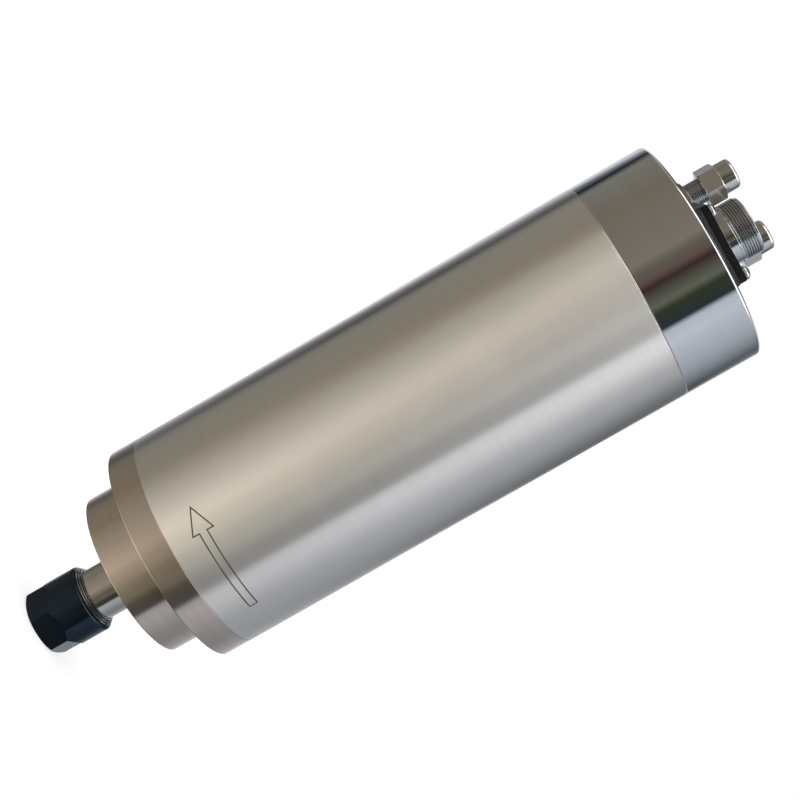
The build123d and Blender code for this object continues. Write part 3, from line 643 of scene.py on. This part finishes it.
@dataclass(frozen=True)
class ScrewPockets:
    """Stepped holes for four long screws, the same in flange and cap.

    Args:
        circle: distance of the screws from the spindle's axis.
        head_hole: radius round a head.
        head_depth: how deep a head sinks.
        shank_hole: radius round a shank.
        lead_in: slope at the mouth.
    """

    circle: float = 34.0
    head_hole: float = 3.7
    head_depth: float = 4.2
    shank_hole: float = 2.2
    lead_in: float = 0.3

    def places(self) -> list[Place]:
        """Middle points of the four holes."""
        return [on_circle(self.circle, angle) for angle in FOUR_CORNERS]

    def cutters(self, face: float, end: float) -> list[Mesh]:
        """Makes the tools that cut the holes.

        Args:
            face: height of the face that the heads sink into.
            end: height where the shanks' holes end.

        Returns:
            One tool for each hole.
        """
        inward = math.copysign(1.0, end - face)
        mouth, floor = self.head_hole + self.lead_in, face + inward * self.head_depth
        outline = [
            (0.0, face - inward * REACH), (mouth, face - inward * REACH), (mouth, face),
            (self.head_hole, face + inward * self.lead_in), (self.head_hole, floor),
            (self.shank_hole, floor), (self.shank_hole, end), (0.0, end),
        ]
        return [turned(outline, place, SMALL_STEPS) for place in self.places()]


@dataclass
class NoseEnd:
    """Nose collar, clamping flange and the ring that closes the bearings in."""

    body_radius: float = 40.0
    nose_radius: float = 30.0
    nose_length: float = 15.3
    flange_length: float = 10.2
    spigot_radius: float = 36.98
    bearing_radius: float = 23.5
    lip_radius: float = 20.0
    ring_radius: float = 25.0
    ring_gap: float = 0.02
    ring_bore: float = 14.9
    ring_land: float = 19.6
    ring_relief: float = 0.8
    edge: float = 0.35
    pockets: ScrewPockets = ScrewPockets()
    spanner_circle: float = 20.0
    spanner_hole: float = 1.2
    spanner_depth: float = 3.0
    spanner_angles: tuple[float, ...] = (0.0, 90.0, 180.0, 270.0)

    def housing(self) -> None:
        """Nose, flange and spigot, turned in one, with the flange's screw holes."""
        nose_front, spigot_end = span("front_housing")
        ring_end = span("front_ring")[1]
        stack_end = span("front_outer_rings")[1]
        flange_front = nose_front + self.nose_length
        joint = flange_front + self.flange_length
        ring_seat = self.ring_radius + self.ring_gap
        bm = turned([
            (ring_seat, nose_front, 0.15), (self.nose_radius, nose_front, self.edge),
            (self.nose_radius, flange_front, 0.15), (self.body_radius, flange_front, self.edge),
            (self.body_radius, joint, 0.12), (self.spigot_radius, joint),
            (self.spigot_radius, spigot_end, 0.4), (self.lip_radius, spigot_end, 0.4),
            (self.lip_radius, stack_end, 0.2), (self.bearing_radius, stack_end),
            (self.bearing_radius, ring_end), (ring_seat, ring_end),
        ])
        bm = combined(bm, self.pockets.cutters(flange_front, spigot_end + REACH), "DIFFERENCE")
        put_on_show(bm, "nose_and_flange", "front_housing")

    def ring(self) -> None:
        """Ring in the nose face, with its spanner holes."""
        low, high = span("front_ring")
        relief = high - self.ring_relief
        bm = turned([
            (self.ring_bore, low, 0.4), (self.ring_radius, low, 0.25), (self.ring_radius, high),
            (self.ring_land, high), (self.ring_land, relief), (self.ring_bore, relief),
        ])
        holes = [prism(SMALL_STEPS, self.spanner_hole, low - REACH, low + self.spanner_depth,
                       on_circle(self.spanner_circle, angle)) for angle in self.spanner_angles]
        put_on_show(combined(bm, holes, "DIFFERENCE"), "bearing_ring", "front_ring")

    def build(self) -> None:
        """Builds both pieces."""
        self.housing()
        self.ring()


@dataclass
class Barrel:
    """The clamping barrel with its etched arrow."""

    radius: float = 40.0
    bore: float = 37.0
    edge: float = 0.25
    arrow_tip_arc: float = -10.7
    arrow_shoulder_arc: float = -0.9
    arrow_tail_arc: float = 31.1
    arrow_height: float = -73.2
    arrow_head_width: float = 8.3
    arrow_stem_width: float = 3.3
    line_width: float = 0.44
    line_rise: float = 0.012
    longest_straight: float = 2.0
    bend_cuts: int = 20

    def tube(self) -> None:
        """The barrel itself."""
        low, high = span("barrel")
        put_on_show(turned([
            (self.bore, low), (self.radius, low, self.edge),
            (self.radius, high, self.edge), (self.bore, high),
        ]), "barrel_tube", "barrel")

    def arrow(self) -> None:
        """Outline of an arrow that shows which way the shaft turns, wrapped on the barrel."""
        bm = bmesh.new()
        head, stem = self.arrow_head_width / 2, self.arrow_stem_width / 2
        tip, shoulder, tail = self.arrow_tip_arc, self.arrow_shoulder_arc, self.arrow_tail_arc
        outline = [(tip, 0.0), (shoulder, -head), (shoulder, -stem), (tail, -stem),
                   (tail, stem), (shoulder, stem), (shoulder, head)]
        face = bm.faces.new([bm.verts.new((arc, self.arrow_height + across, 0.0))
                             for arc, across in outline])
        bm.normal_update()
        bmesh.ops.inset_region(bm, faces=[face], thickness=self.line_width, use_even_offset=True,
                               use_boundary=True)
        bmesh.ops.delete(bm, geom=[face], context="FACES_ONLY")
        long_edges = [e for e in bm.edges if e.calc_length() > self.longest_straight]
        bmesh.ops.subdivide_edges(bm, edges=long_edges, cuts=self.bend_cuts, use_grid_fill=True)
        extruded(bm, self.line_rise)
        for vert in bm.verts:
            arc, height, rise = vert.co
            vert.co = ((self.radius + rise) * math.sin(arc / self.radius),
                       -(self.radius + rise) * math.cos(arc / self.radius), height)
        bmesh.ops.recalc_face_normals(bm, faces=bm.faces)
        put_on_show(bm, "rotation_arrow", "barrel", [ETCHING], replaces=False)

    def build(self) -> None:
        """Builds the tube and the arrow."""
        self.tube()
        self.arrow()


@dataclass
class RearCap:
    """The deep polished cap with its screw posts and connector holes."""

    radius: float = 40.0
    wall: float = 3.0
    floor: float = 5.0
    edge: float = 0.4
    rim: float = 1.2
    pockets: ScrewPockets = ScrewPockets()
    post_radius: float = 4.5
    post_foot: float = 2.3
    post_overlap: float = 0.5
    socket_centre: Place = (0.2, -19.0)
    socket_hole: float = 9.2
    fittings: tuple[int, ...] = (1, 2)
    fitting_hole: float = 4.02

    def build(self) -> None:
        """Builds the cap."""
        low, high = span("rear_cap")
        inside = high - self.floor
        bore = self.radius - self.wall
        bm = turned([
            (0.0, inside), (bore, inside, 1.0), (bore, low), (self.radius, low, self.edge),
            (self.radius, high, self.rim), (0.0, high),
        ])
        post_low, post_high = low + self.post_foot, inside + self.post_overlap
        posts = [prism(SMALL_STEPS, self.post_radius, post_low, post_high, place)
                 for place in self.pockets.places()]
        round_holes = [(self.socket_hole, self.socket_centre)]
        round_holes += [(self.fitting_hole, middle(f"fitting_washer_{number}"))
                        for number in self.fittings]
        holes = self.pockets.cutters(high, low)
        holes += [prism(SMALL_STEPS, radius, inside - REACH, high + REACH, place)
                  for radius, place in round_holes]
        bm = combined(combined(bm, posts, "UNION"), holes, "DIFFERENCE")
        put_on_show(bm, "mirror_cap", "rear_cap")


@dataclass
class Chuck:
    """Shaft with its neck, the dust ring and the collet nut."""

    thread_radius: float = 9.5
    thread_length: float = 13.0
    neck_radius: float = 9.45
    collar_radius: float = 14.5
    collar_length: float = 3.2
    front_seat: float = 12.48
    core_radius: float = 12.0
    core_overhang: float = 10.0
    rear_radius: float = 9.5
    rear_seat: float = 7.48
    well_radius: float = 5.8
    well_depth: float = 40.0
    well_point: float = 2.9
    taper_mouth: float = 7.44
    taper_reserve: float = 1.0
    nut_radius: float = 12.3
    nut_flat: float = 10.7
    flat_length: float = 9.6
    flat_direction: float = -76.0
    cutter_radius: float = 9.5
    cutter_length: float = 6.0
    bevel: float = 2.7
    mouth: float = 7.2
    lip: float = 6.45
    lip_setback: float = 1.8
    lip_length: float = 1.0
    chamber: float = 8.8
    thread_runout: float = 0.6
    cone_foot: float = 6.7
    cone_length: float = 3.7
    bore: float = 9.55
    grooves: tuple[float, ...] = (1.15, 2.0, 2.85)
    groove_depth: float = 0.2

    def shaft(self) -> None:
        """The whole shaft, from its taper to its rear end."""
        low, high = span("shaft")
        collar_rear = span("front_ring")[1]
        collar_front = collar_rear - self.collar_length
        thread_end = low + self.thread_length
        lock_end = span("bearing_lock_nut")[1]
        core_end = span("rotor_core")[1] + self.core_overhang
        rear_seat_low = span("rear_inner_rings")[0]
        taper_end = span("collet")[1] + self.taper_reserve
        well_end = taper_end + self.well_depth
        put_on_show(turned([
            (self.taper_mouth, low), (self.thread_radius, low, 0.4),
            (self.thread_radius, thread_end), (self.neck_radius, thread_end + 0.3),
            (self.neck_radius, collar_front, 0.3),
            (self.collar_radius, collar_front, 0.2), (self.collar_radius, collar_rear, 0.2),
            (self.front_seat, collar_rear), (self.front_seat, lock_end, 0.2),
            (self.core_radius, lock_end), (self.core_radius, core_end, 0.4),
            (self.rear_radius, core_end), (self.rear_radius, rear_seat_low, 0.2),
            (self.rear_seat, rear_seat_low), (self.rear_seat, high, 0.3), (0.0, high),
            (0.0, well_end), (self.well_radius, well_end - self.well_point),
            (self.well_radius, taper_end),
        ], steps=SHAFT_STEPS), "spindle_shaft", "shaft")

    def _bevel_slope(self) -> Vector:
        """Direction up the rear bevel, outwards and along the axis."""
        return Vector((self.bore + 0.3 - self.nut_radius, self.bevel)).normalized()

    def _grooved_bevel(self, high: float) -> list[Corner]:
        """Outline of the nut's rear bevel with its fine turned rings.

        Args:
            high: height of the nut's rear end.

        Returns:
            The corners from the nut's round side up to the bevel's last ring.
        """
        slope = self._bevel_slope()
        inward = Vector((-slope.y, slope.x))
        start = Vector((self.nut_radius, high - self.bevel))
        outline = [(*start, 0.5)]
        for distance in self.grooves:
            for side, depth in ((-1, 0.0), (0, self.groove_depth), (1, 0.0)):
                along = distance + side * self.groove_depth
                outline.append(tuple(start + slope * along + inward * depth))
        return outline

    def _flat_cutter(self, low: float, direction: float) -> Mesh:
        """Makes the tool that cuts one flat, rounded where the flat ends.

        Args:
            low: height of the nut's front.
            direction: direction that the flat faces, in degrees.

        Returns:
            The tool.
        """
        cutter = bmesh.new()
        bmesh.ops.create_circle(cutter, cap_ends=True, segments=SMALL_STEPS,
                                radius=self.cutter_radius)
        front_half = [v for v in cutter.verts if v.co.x < 0.0]
        bmesh.ops.translate(cutter, vec=(-2 * self.cutter_radius, 0, 0), verts=front_half)
        extruded(cutter, self.cutter_length)
        on_its_edge = Matrix(((0, 0, 1, 0), (0, 1, 0, 0), (1, 0, 0, 0), (0, 0, 0, 1)))
        out = Matrix.Translation((self.nut_flat, 0, low + self.flat_length - self.cutter_radius))
        lay = Matrix.Rotation(math.radians(direction), 4, "Z") @ out @ on_its_edge
        bmesh.ops.transform(cutter, matrix=lay, verts=cutter.verts)
        bmesh.ops.recalc_face_normals(cutter, faces=cutter.faces)
        return cutter

    def nut(self) -> None:
        """The black nut: round behind, hexagonal in front, bare on its rear bevel."""
        low, high = span("collet_nut")
        chamber_end = span("shaft")[0] - self.thread_runout
        lip_low = span("collet")[0] + self.lip_setback
        lip_high = lip_low + self.lip_length
        bm = turned([
            (self.mouth, low, 0.3), (self.nut_radius - 1.6, low, 0.3),
            (self.nut_radius, low + 1.0, 0.3), *self._grooved_bevel(high),
            (self.bore + 0.3, high, 0.3), (self.bore, high - 0.3), (self.bore, chamber_end),
            (self.chamber, chamber_end - 1.0), (self.chamber, lip_high + self.cone_length),
            (self.cone_foot, lip_high), (self.lip, lip_high), (self.lip, lip_low),
            (self.mouth, lip_low),
        ], steps=NUT_STEPS)
        cutters = [self._flat_cutter(low, self.flat_direction + 60 * side) for side in range(6)]
        bm = combined(bm, cutters, "DIFFERENCE")
        slope = self._bevel_slope()
        for face in bm.faces:
            point = face.calc_center_median()
            along = (point.z - high + self.bevel) / slope.y
            in_groove = any(abs(along - distance) < self.groove_depth for distance in self.grooves)
            in_bore = point.xy.length < self.bore + 0.25
            if in_bore or along > self.grooves[0] and not in_groove:
                face.material_index = 1
        put_on_show(bm, "chuck_nut", "collet_nut", [SLOT_FINISHES["nut_black"], NUT_BARE])

    def dust_ring(self) -> None:
        """Thin ring that turns in front of the shaft's collar."""
        low, high = span("dust_cap")
        bore = self.neck_radius + 0.02
        put_on_show(turned([
            (bore, low, 0.2), (self.collar_radius, low, 0.4),
            (self.collar_radius, high), (bore, high),
        ], steps=SHAFT_STEPS), "dust_ring", "dust_cap")

    def build(self) -> None:
        """Builds the turning pieces at the front."""
        self.shaft()
        self.dust_ring()
        self.nut()


@dataclass
class PowerSocket:
    """Threaded power socket on its square flange."""

    centre: Place = (0.2, -19.0)
    turn: float = 8.0
    flange: float = 28.0
    flange_thickness: float = 2.6
    corner: float = 3.0
    hole_pitch: float = 22.7
    hole: float = 1.7
    base_radius: float = 9.5
    base_length: float = 3.7
    base_sunk: float = 0.8
    thread_root: float = 9.62
    thread_crest: float = 10.1
    pitch: float = 0.85
    neck_radius: float = 9.0
    bore: float = 8.5
    seal_hole: float = 9.2
    seal_squeeze: float = 0.25
    screw_radius: float = 1.48
    head_radius: float = 2.4
    head_height: float = 1.9
    recess: tuple[float, float, float] = (2.6, 0.55, 2.0)
    recess_turn: float = 20.0
    pin_circle: float = 4.5
    pin_radius: float = 1.1

    def _show(self, bm: Mesh, name: str, node: str, finishes: Sequence[Finish] = ()) -> None:
        """Takes a mesh from the socket's own axis to its place and finishes it.

        Args:
            bm: the piece, which is freed.
            name: the piece's name.
            node: the node that it stands for.
            finishes: one for each material index, or none for its slot's own.
        """
        bmesh.ops.transform(bm, matrix=stood(self.centre, 0.0, self.turn), verts=bm.verts)
        put_on_show(bm, name, node, finishes)

    def _hole_places(self) -> list[Place]:
        """The four screw places about the socket's own axis."""
        half = self.hole_pitch / 2
        return [(x, y) for x in (-half, half) for y in (-half, half)]

    def _plate(self, low: float, high: float, inset: float, edge: float, opening: float) -> Mesh:
        """Makes a square plate with rounded corners, screw holes and a round opening.

        Args:
            low: height of its lower face.
            high: height of its upper face.
            inset: how much smaller than the flange it is on each side.
            edge: bevel along its upper rim.
            opening: radius of the opening.

        Returns:
            The plate.
        """
        bm = bmesh.new()
        bmesh.ops.create_grid(bm, x_segments=1, y_segments=1, size=self.flange / 2 - inset,
                              matrix=Matrix.Translation((0, 0, low)))
        bmesh.ops.bevel(bm, geom=bm.verts[:], offset=self.corner, offset_type="OFFSET", segments=10,
                        profile=0.5, affect="VERTICES", material=-1)
        extruded(bm, high - low)
        rim = [e for e in bm.edges if all(abs(v.co.z - high) < SAME_HEIGHT for v in e.verts)]
        bmesh.ops.bevel(bm, geom=rim, offset=edge, offset_type="OFFSET", segments=2, profile=0.5,
                        affect="EDGES", material=-1)
        holes = [prism(HOLE_STEPS, self.hole, low - REACH, high + REACH, place)
                 for place in self._hole_places()]
        holes.append(prism(SOCKET_STEPS, opening, low - REACH, high + REACH))
        return combined(bm, holes, "DIFFERENCE")

    def shell(self) -> None:
        """Square flange and threaded shell."""
        low, high = span("socket_shell")
        flange_low = span("socket_gasket")[1]
        flange_high = flange_low + self.flange_thickness
        base_low = flange_high - self.base_sunk
        thread_low = flange_high + self.base_length
        plate = self._plate(flange_low, flange_high, 0.0, 0.3, self.bore + 0.2)
        sleeve = turned([
            (self.bore, low), (self.neck_radius, low), (self.neck_radius, base_low),
            (self.base_radius, base_low), (self.base_radius, thread_low - 0.2, 0.2),
            (self.thread_root, thread_low), (self.thread_root, high, 0.35), (self.bore, high, 0.3),
        ], steps=SOCKET_STEPS)
        body = combined(plate, [sleeve], "UNION")
        # The flange's side faces take the near-black finish, a painted dark reflection on the
        # chrome plate; its top stays chrome.
        for face in body.faces:
            point = face.calc_center_median()
            if point.z < flange_high - 0.1 and point.xy.length > self.base_radius + 1.0:
                face.material_index = 1
        ridge = thread_ridge(self.thread_root, self.thread_crest, self.pitch,
                             thread_low - 0.1, high - 0.25, steps=SOCKET_STEPS, slot=2)
        self._show(gathered([body, ridge]), "socket_body", "socket_shell",
                   [SLOT_FINISHES["socket_chrome"], FLANGE_SIDE_PAINTED_REFLECTION, THREAD_METAL])

    def seal(self) -> None:
        """Rubber gasket under the flange, squeezed out a little at its edge."""
        low, high = span("socket_gasket")
        plate = self._plate(low, high, -self.seal_squeeze, 2 * self.seal_squeeze, self.seal_hole)
        self._show(plate, "flange_seal", "socket_gasket")

    def screws(self) -> None:
        """Four pan-head screws with cross recesses."""
        low, high = span("socket_screws")
        under = high - self.head_height
        made = []
        for number, place in enumerate(self._hole_places()):
            screw = turned([
                (0.0, low), (self.screw_radius, low, 0.3), (self.screw_radius, under),
                (self.head_radius, under, 0.2), (self.head_radius, high - 0.9, 0.5),
                (self.head_radius - 1.0, high - 0.12, 0.4), (0.0, high),
            ], place, HOLE_STEPS)
            cross = []
            for angle in (0.0, 90.0):
                bar = bmesh.new()
                lay = stood(place, high, angle + self.recess_turn * number)
                size = Matrix.Diagonal((*self.recess, 1.0))
                bmesh.ops.create_cube(bar, size=1.0, matrix=lay @ size)
                cross.append(bar)
            made.append(combined(screw, cross, "DIFFERENCE"))
        self._show(gathered(made), "flange_screws", "socket_screws")

    def pins(self) -> None:
        """Four contact pins with rounded tips."""
        low, high = span("contact_pins")
        outline = [(0.0, low), (self.pin_radius, low, 0.2),
                   (self.pin_radius, high, 0.7), (0.0, high)]
        made = [turned(outline, on_circle(self.pin_circle, angle), PIN_STEPS)
                for angle in FOUR_CORNERS]
        self._show(gathered(made), "plug_pins", "contact_pins")

    def build(self) -> None:
        """Builds the socket's visible pieces."""
        self.seal()
        self.shell()
        self.screws()
        self.pins()


@dataclass
class HoseFitting:
    """One coolant fitting: washer, stem and cap nut."""

    number: int
    flat_direction: float = -95.0
    nut_direction: float = -101.0
    washer_radius: float = 6.5
    washer_bore: float = 4.2
    hex_flats: float = 11.0
    hex_top: float = 7.0
    hex_bevel: float = 0.7
    stub_top: float = 17.0
    stub_root: float = 4.15
    stub_crest: float = 4.5
    pitch: float = 0.75
    foot_radius: float = 4.0
    nipple_radius: float = 2.6
    bore: float = 1.8
    core_hole: float = 2.8
    core_sunk: float = 1.0
    nut_flats: float = 12.2
    nut_hex_length: float = 6.9
    nut_bevel: float = 1.2
    nut_top_radius: float = 5.2
    nut_thread: float = 4.55
    nut_mouth: float = 4.1
    mouth_length: float = 5.0

    def _node(self, kind: str) -> str:
        """Name of this fitting's node or piece of a kind."""
        return f"{kind}_{self.number}"

    def washer(self, centre: Place) -> None:
        """Makes the sealing washer on the cap.

        Args:
            centre: where the fitting's axis stands.
        """
        low, high = span(self._node("fitting_washer"))
        outline = [(self.washer_bore, low), (self.washer_radius, low, 0.3),
                   (self.washer_radius, high, 0.3), (self.washer_bore, high)]
        put_on_show(turned(outline, centre, SMALL_STEPS), self._node("port_washer"),
                    self._node("fitting_washer"))

    def stem(self, centre: Place) -> None:
        """Makes the hexagonal foot, the threaded stub and the nipple.

        Args:
            centre: where the fitting's axis stands.
        """
        low, high = span(self._node("fitting_stem"))
        foot = span(self._node("fitting_washer"))[1]
        cap_face = span("rear_cap")[1]
        hex_top, stub_top = cap_face + self.hex_top, cap_face + self.stub_top
        step = foot + self.core_sunk
        body = hexagon(self.hex_flats, foot, hex_top, centre, self.flat_direction, self.hex_bevel)
        bore = prism(HOLE_STEPS, self.core_hole, foot - REACH, hex_top + REACH, centre)
        core = turned([
            (self.bore, low), (self.foot_radius, low, 0.3), (self.foot_radius, step),
            (self.stub_root, step), (self.stub_root, stub_top, 0.3),
            (self.nipple_radius, stub_top), (self.nipple_radius, high, 0.3), (self.bore, high),
        ], centre, SMALL_STEPS)
        body = combined(combined(body, [bore], "DIFFERENCE"), [core], "UNION")
        ridge = thread_ridge(self.stub_root, self.stub_crest, self.pitch,
                             hex_top - 0.2, stub_top - 0.2, centre)
        put_on_show(gathered([body, ridge]), self._node("port_stem"), self._node("fitting_stem"),
                    [SLOT_FINISHES["fitting_nickel"], THREAD_METAL])

    def nut(self, centre: Place) -> None:
        """Makes the cap nut: a hexagon below and a smooth neck above.

        Args:
            centre: where the fitting's axis stands.
        """
        low, high = span(self._node("hose_nut"))
        hex_high = low + self.nut_hex_length
        neck_low = hex_high - self.core_sunk
        top, thread, mouth = self.nut_top_radius, self.nut_thread, self.nut_mouth
        mouth_low = high - self.mouth_length
        body = hexagon(self.nut_flats, low, hex_high, centre, self.nut_direction, self.nut_bevel)
        neck = turned([
            (0.0, neck_low), (top + 0.45, neck_low), (top + 0.3, high - 0.6, 0.4),
            (top - 0.1, high, 0.2), (0.0, high),
        ], centre, SMALL_STEPS)
        hole = turned([
            (0.0, low - REACH), (thread + 0.3, low - REACH), (thread + 0.3, low),
            (thread, low + 0.3), (thread, mouth_low), (mouth, mouth_low), (mouth, high - 0.2),
            (mouth + 0.2, high), (mouth + 0.2, high + REACH), (0.0, high + REACH),
        ], centre, SMALL_STEPS)
        bm = combined(combined(body, [neck], "UNION"), [hole], "DIFFERENCE")
        put_on_show(bm, self._node("port_nut"), self._node("hose_nut"))

    def build(self) -> None:
        """Builds the fitting's three visible pieces."""
        centre = middle(self._node("fitting_washer"))
        self.washer(centre)
        self.stem(centre)
        self.nut(centre)


def dress_frame() -> None:
    """Gives every node of the frame that still shows the finish of its slot."""
    for name, node in frame["nodes"].items():
        finish = SLOT_FINISHES[SLOT_OF[name]]
        for place in node.material_slots:
            place.material = finish.material()


# The studio


@dataclass(frozen=True)
class Ring:
    """One band of the room, all the way round the spindle.

    Args:
        walls: its colours, from behind on one side to behind on the other.
        strength: what its colours are multiplied by.
    """

    walls: tuple[Wall, ...]
    strength: float = 1.0

    def place(self, graph: Graph, turn: Value) -> Socket:
        """Adds the band to the world.

        Args:
            graph: the world's graph.
            turn: place round the band, from 0 to 1.

        Returns:
            The band's colour.
        """
        ramp = graph.node("ValToRGB", {"Fac": turn})
        stops = ramp.color_ramp.elements
        for angle, _ in self.walls[1:-1]:
            stops.new(angle / 360 + 0.5)
        for stop, (angle, colour) in zip(stops, self.walls):
            stop.position = angle / 360 + 0.5
            stop.color = (*colour, 1.0)
        return graph.scaled(ramp.outputs["Color"], self.strength)


LEVEL_RING = Ring((
    (-180, (0.80, 0.82, 0.84)), (-158, (0.66, 0.68, 0.71)), (-147, (0.20, 0.21, 0.22)),
    (-132, (0.01, 0.01, 0.02)), (-121, (0.22, 0.23, 0.20)), (-80, (0.21, 0.18, 0.14)),
    (-18, (0.25, 0.22, 0.18)), (-9, (0.15, 0.14, 0.11)), (0, (0.15, 0.10, 0.09)),
    (7, (0.05, 0.03, 0.03)), (25, (0.15, 0.16, 0.12)), (32, (0.04, 0.05, 0.03)),
    (48, (0.03, 0.04, 0.05)), (53, (0.58, 0.64, 0.71)), (64, (0.66, 0.71, 0.79)),
    (104, (0.42, 0.46, 0.52)), (138, (0.12, 0.14, 0.15)), (152, (0.06, 0.06, 0.07)),
    (166, (0.16, 0.17, 0.17)), (180, (0.80, 0.82, 0.84)),
))
UPPER_RING = Ring((
    (-180, (0.30, 0.31, 0.32)), (-148, (0.20, 0.21, 0.23)), (-133, (0.03, 0.03, 0.03)),
    (-114, (0.14, 0.13, 0.12)), (-48, (0.14, 0.13, 0.11)), (-20, (0.34, 0.34, 0.35)),
    (26, (0.88, 0.90, 0.94)), (66, (0.80, 0.79, 0.79)), (90, (0.22, 0.21, 0.20)),
    (124, (0.03, 0.03, 0.03)), (154, (0.07, 0.07, 0.08)), (180, (0.30, 0.31, 0.32)),
), 3.0)
LOWER_RING = Ring((
    (-180, (0.75, 0.76, 0.78)), (-148, (0.08, 0.08, 0.09)), (-133, (0.04, 0.04, 0.04)),
    (-80, (0.15, 0.14, 0.11)), (-48, (0.42, 0.41, 0.37)), (-20, (0.84, 0.75, 0.65)),
    (4, (0.55, 0.54, 0.42)), (26, (0.12, 0.10, 0.09)), (66, (0.02, 0.02, 0.02)),
    (90, (0.04, 0.04, 0.04)), (124, (0.14, 0.15, 0.17)), (154, (0.18, 0.18, 0.19)),
    (180, (0.75, 0.76, 0.78)),
), 3.0)
OVERHEAD_RING = Ring((
    (-180, (0.90, 0.91, 0.93)), (-130, (0.60, 0.61, 0.63)), (-90, (0.12, 0.12, 0.12)),
    (-20, (0.05, 0.05, 0.06)), (50, (0.07, 0.07, 0.09)), (100, (0.62, 0.66, 0.73)),
    (180, (0.90, 0.91, 0.93)),
))


@dataclass
class Studio:
    """Floor, room, lamp and camera."""

    level: Ring = LEVEL_RING
    upper: Ring = UPPER_RING
    lower: Ring = LOWER_RING
    overhead: Ring = OVERHEAD_RING
    steep_from: float = 0.13
    steep_to: float = 0.30
    overhead_from: float = 0.42
    overhead_to: float = 0.62
    focal_length: float = 70.35
    sensor: float = 36.0
    camera_place: tuple[float, float, float] = (-6.4, -535.2, 37.9)
    camera_tilt: float = 4.054
    camera_roll: float = 29.81
    floor_radius: float = 2.5
    floor_sides: int = 96
    floor_colour: Colour = (0.60, 0.60, 0.60)
    floor_lift: float = 0.60
    daylight: float = 0.95
    lamp_place: tuple[float, float, float] = (-0.55, -0.45, 0.85)
    lamp_size: float = 0.7
    lamp_power: float = 2.0

    def camera(self) -> None:
        """Sets the camera at the photo's place, with the spindle's axis rising to the right."""
        data = bpy.data.cameras.new("photo camera")
        data.lens = self.focal_length
        data.sensor_width = self.sensor
        data.sensor_fit = "HORIZONTAL"
        data.clip_start = 0.02
        tilt, roll = math.radians(self.camera_tilt), math.radians(self.camera_roll)
        along = Vector((0.0, math.sin(tilt), math.cos(tilt)))
        across = Vector((1.0, 0.0, 0.0))
        right = math.cos(roll) * along + math.sin(roll) * across
        up = math.sin(roll) * along - math.cos(roll) * across
        back = right.cross(up)
        turn = Matrix((right, up, back)).transposed().to_4x4()
        camera = bpy.data.objects.new("photo camera", data)
        camera.matrix_world = Matrix.Translation(Vector(self.camera_place) * MM) @ turn
        bpy.context.scene.collection.objects.link(camera)
        bpy.context.scene.camera = camera

    def floor(self) -> None:
        """Pale floor under the nut, which keeps the shadow."""
        bm = bmesh.new()
        height = span("collet_nut")[0] * MM
        bmesh.ops.create_circle(bm, cap_ends=True, segments=self.floor_sides,
                                radius=self.floor_radius, matrix=stood((0.0, 0.0), height, 0.0))
        floor = as_object(bm, "floor")
        material = bpy.data.materials.new("pale floor")
        material.use_nodes = True
        graph = Graph(material.node_tree)
        material.node_tree.nodes.remove(material.node_tree.nodes["Principled BSDF"])
        path = graph.node("LightPath")
        matt = graph.node("BsdfDiffuse", {"Color": self.floor_colour})
        lift = graph.math("MULTIPLY", path.outputs["Is Camera Ray"], self.floor_lift)
        glow = graph.node("Emission", {"Color": (1.0, 1.0, 1.0), "Strength": lift})
        both = graph.node("AddShader", {0: matt.outputs[0], 1: glow.outputs[0]})
        clear = graph.node("BsdfTransparent")
        mix = graph.node("MixShader", {"Fac": path.outputs["Is Glossy Ray"],
                                       1: both.outputs[0], 2: clear.outputs[0]})
        graph.feed(material.node_tree.nodes["Material Output"].inputs["Surface"], mix.outputs[0])
        floor.data.materials.append(material)

    def room(self) -> None:
        """Lights the scene from all sides and gives the metal a room to mirror."""
        world = bpy.data.worlds.new("studio room")
        world.use_nodes = True
        bpy.context.scene.world = world
        graph = Graph(world.node_tree)
        half = graph.vector("ADD", graph.node("TexCoord").outputs["Generated"], (0.0, -1.0, 0.0))
        split = graph.node("SeparateXYZ", {"Vector": graph.vector("NORMALIZE", half)}).outputs
        angle = graph.math("ARCTAN2", split["X"], graph.math("MULTIPLY", split["Y"], -1.0))
        turn = graph.math("ADD", graph.math("DIVIDE", angle, math.pi), 0.5)
        slope = graph.math("ABSOLUTE", split["Z"])
        above = graph.math("GREATER_THAN", split["Z"], 0.0)
        level, upper, lower, overhead = (
            ring.place(graph, turn) for ring in (self.level, self.upper, self.lower, self.overhead))
        steep = graph.blend(graph.rise(slope, self.overhead_from, self.overhead_to),
                            graph.blend(above, lower, upper), overhead)
        room = graph.blend(graph.rise(slope, self.steep_from, self.steep_to), level, steep)
        path = graph.node("LightPath")
        matt_light = graph.blend(path.outputs["Is Diffuse Ray"], room, (self.daylight,) * 3)
        shown = graph.blend(path.outputs["Is Camera Ray"], matt_light, (1.0, 1.0, 1.0))
        graph.feed(world.node_tree.nodes["Background"].inputs["Color"], shown)

    def lamp(self) -> None:
        """One wide soft lamp above and before the spindle."""
        data = bpy.data.lights.new("soft lamp", "AREA")
        data.shape = "SQUARE"
        data.size = self.lamp_size
        data.energy = self.lamp_power
        lamp = bpy.data.objects.new("soft lamp", data)
        place = Vector(self.lamp_place)
        turn = place.to_track_quat("Z", "Y").to_matrix().to_4x4()
        lamp.matrix_world = Matrix.Translation(place) @ turn
        bpy.context.scene.collection.objects.link(lamp)

    def build(self) -> None:
        """Sets up the whole studio."""
        self.camera()
        self.floor()
        self.room()
        self.lamp()
        bpy.context.scene.view_settings.view_transform = "Standard"


def main() -> None:
    """Builds the studio and the spindle's pieces, in order."""
    logging.basicConfig(level=logging.INFO, format="%(name)s: %(message)s")
    Studio().build()
    dress_frame()
    NoseEnd().build()
    Barrel().build()
    cap = RearCap()
    cap.build()
    Chuck().build()
    PowerSocket().build()
    for number in cap.fittings:
        HoseFitting(number).build()


if __name__ == "__main__":
    main()
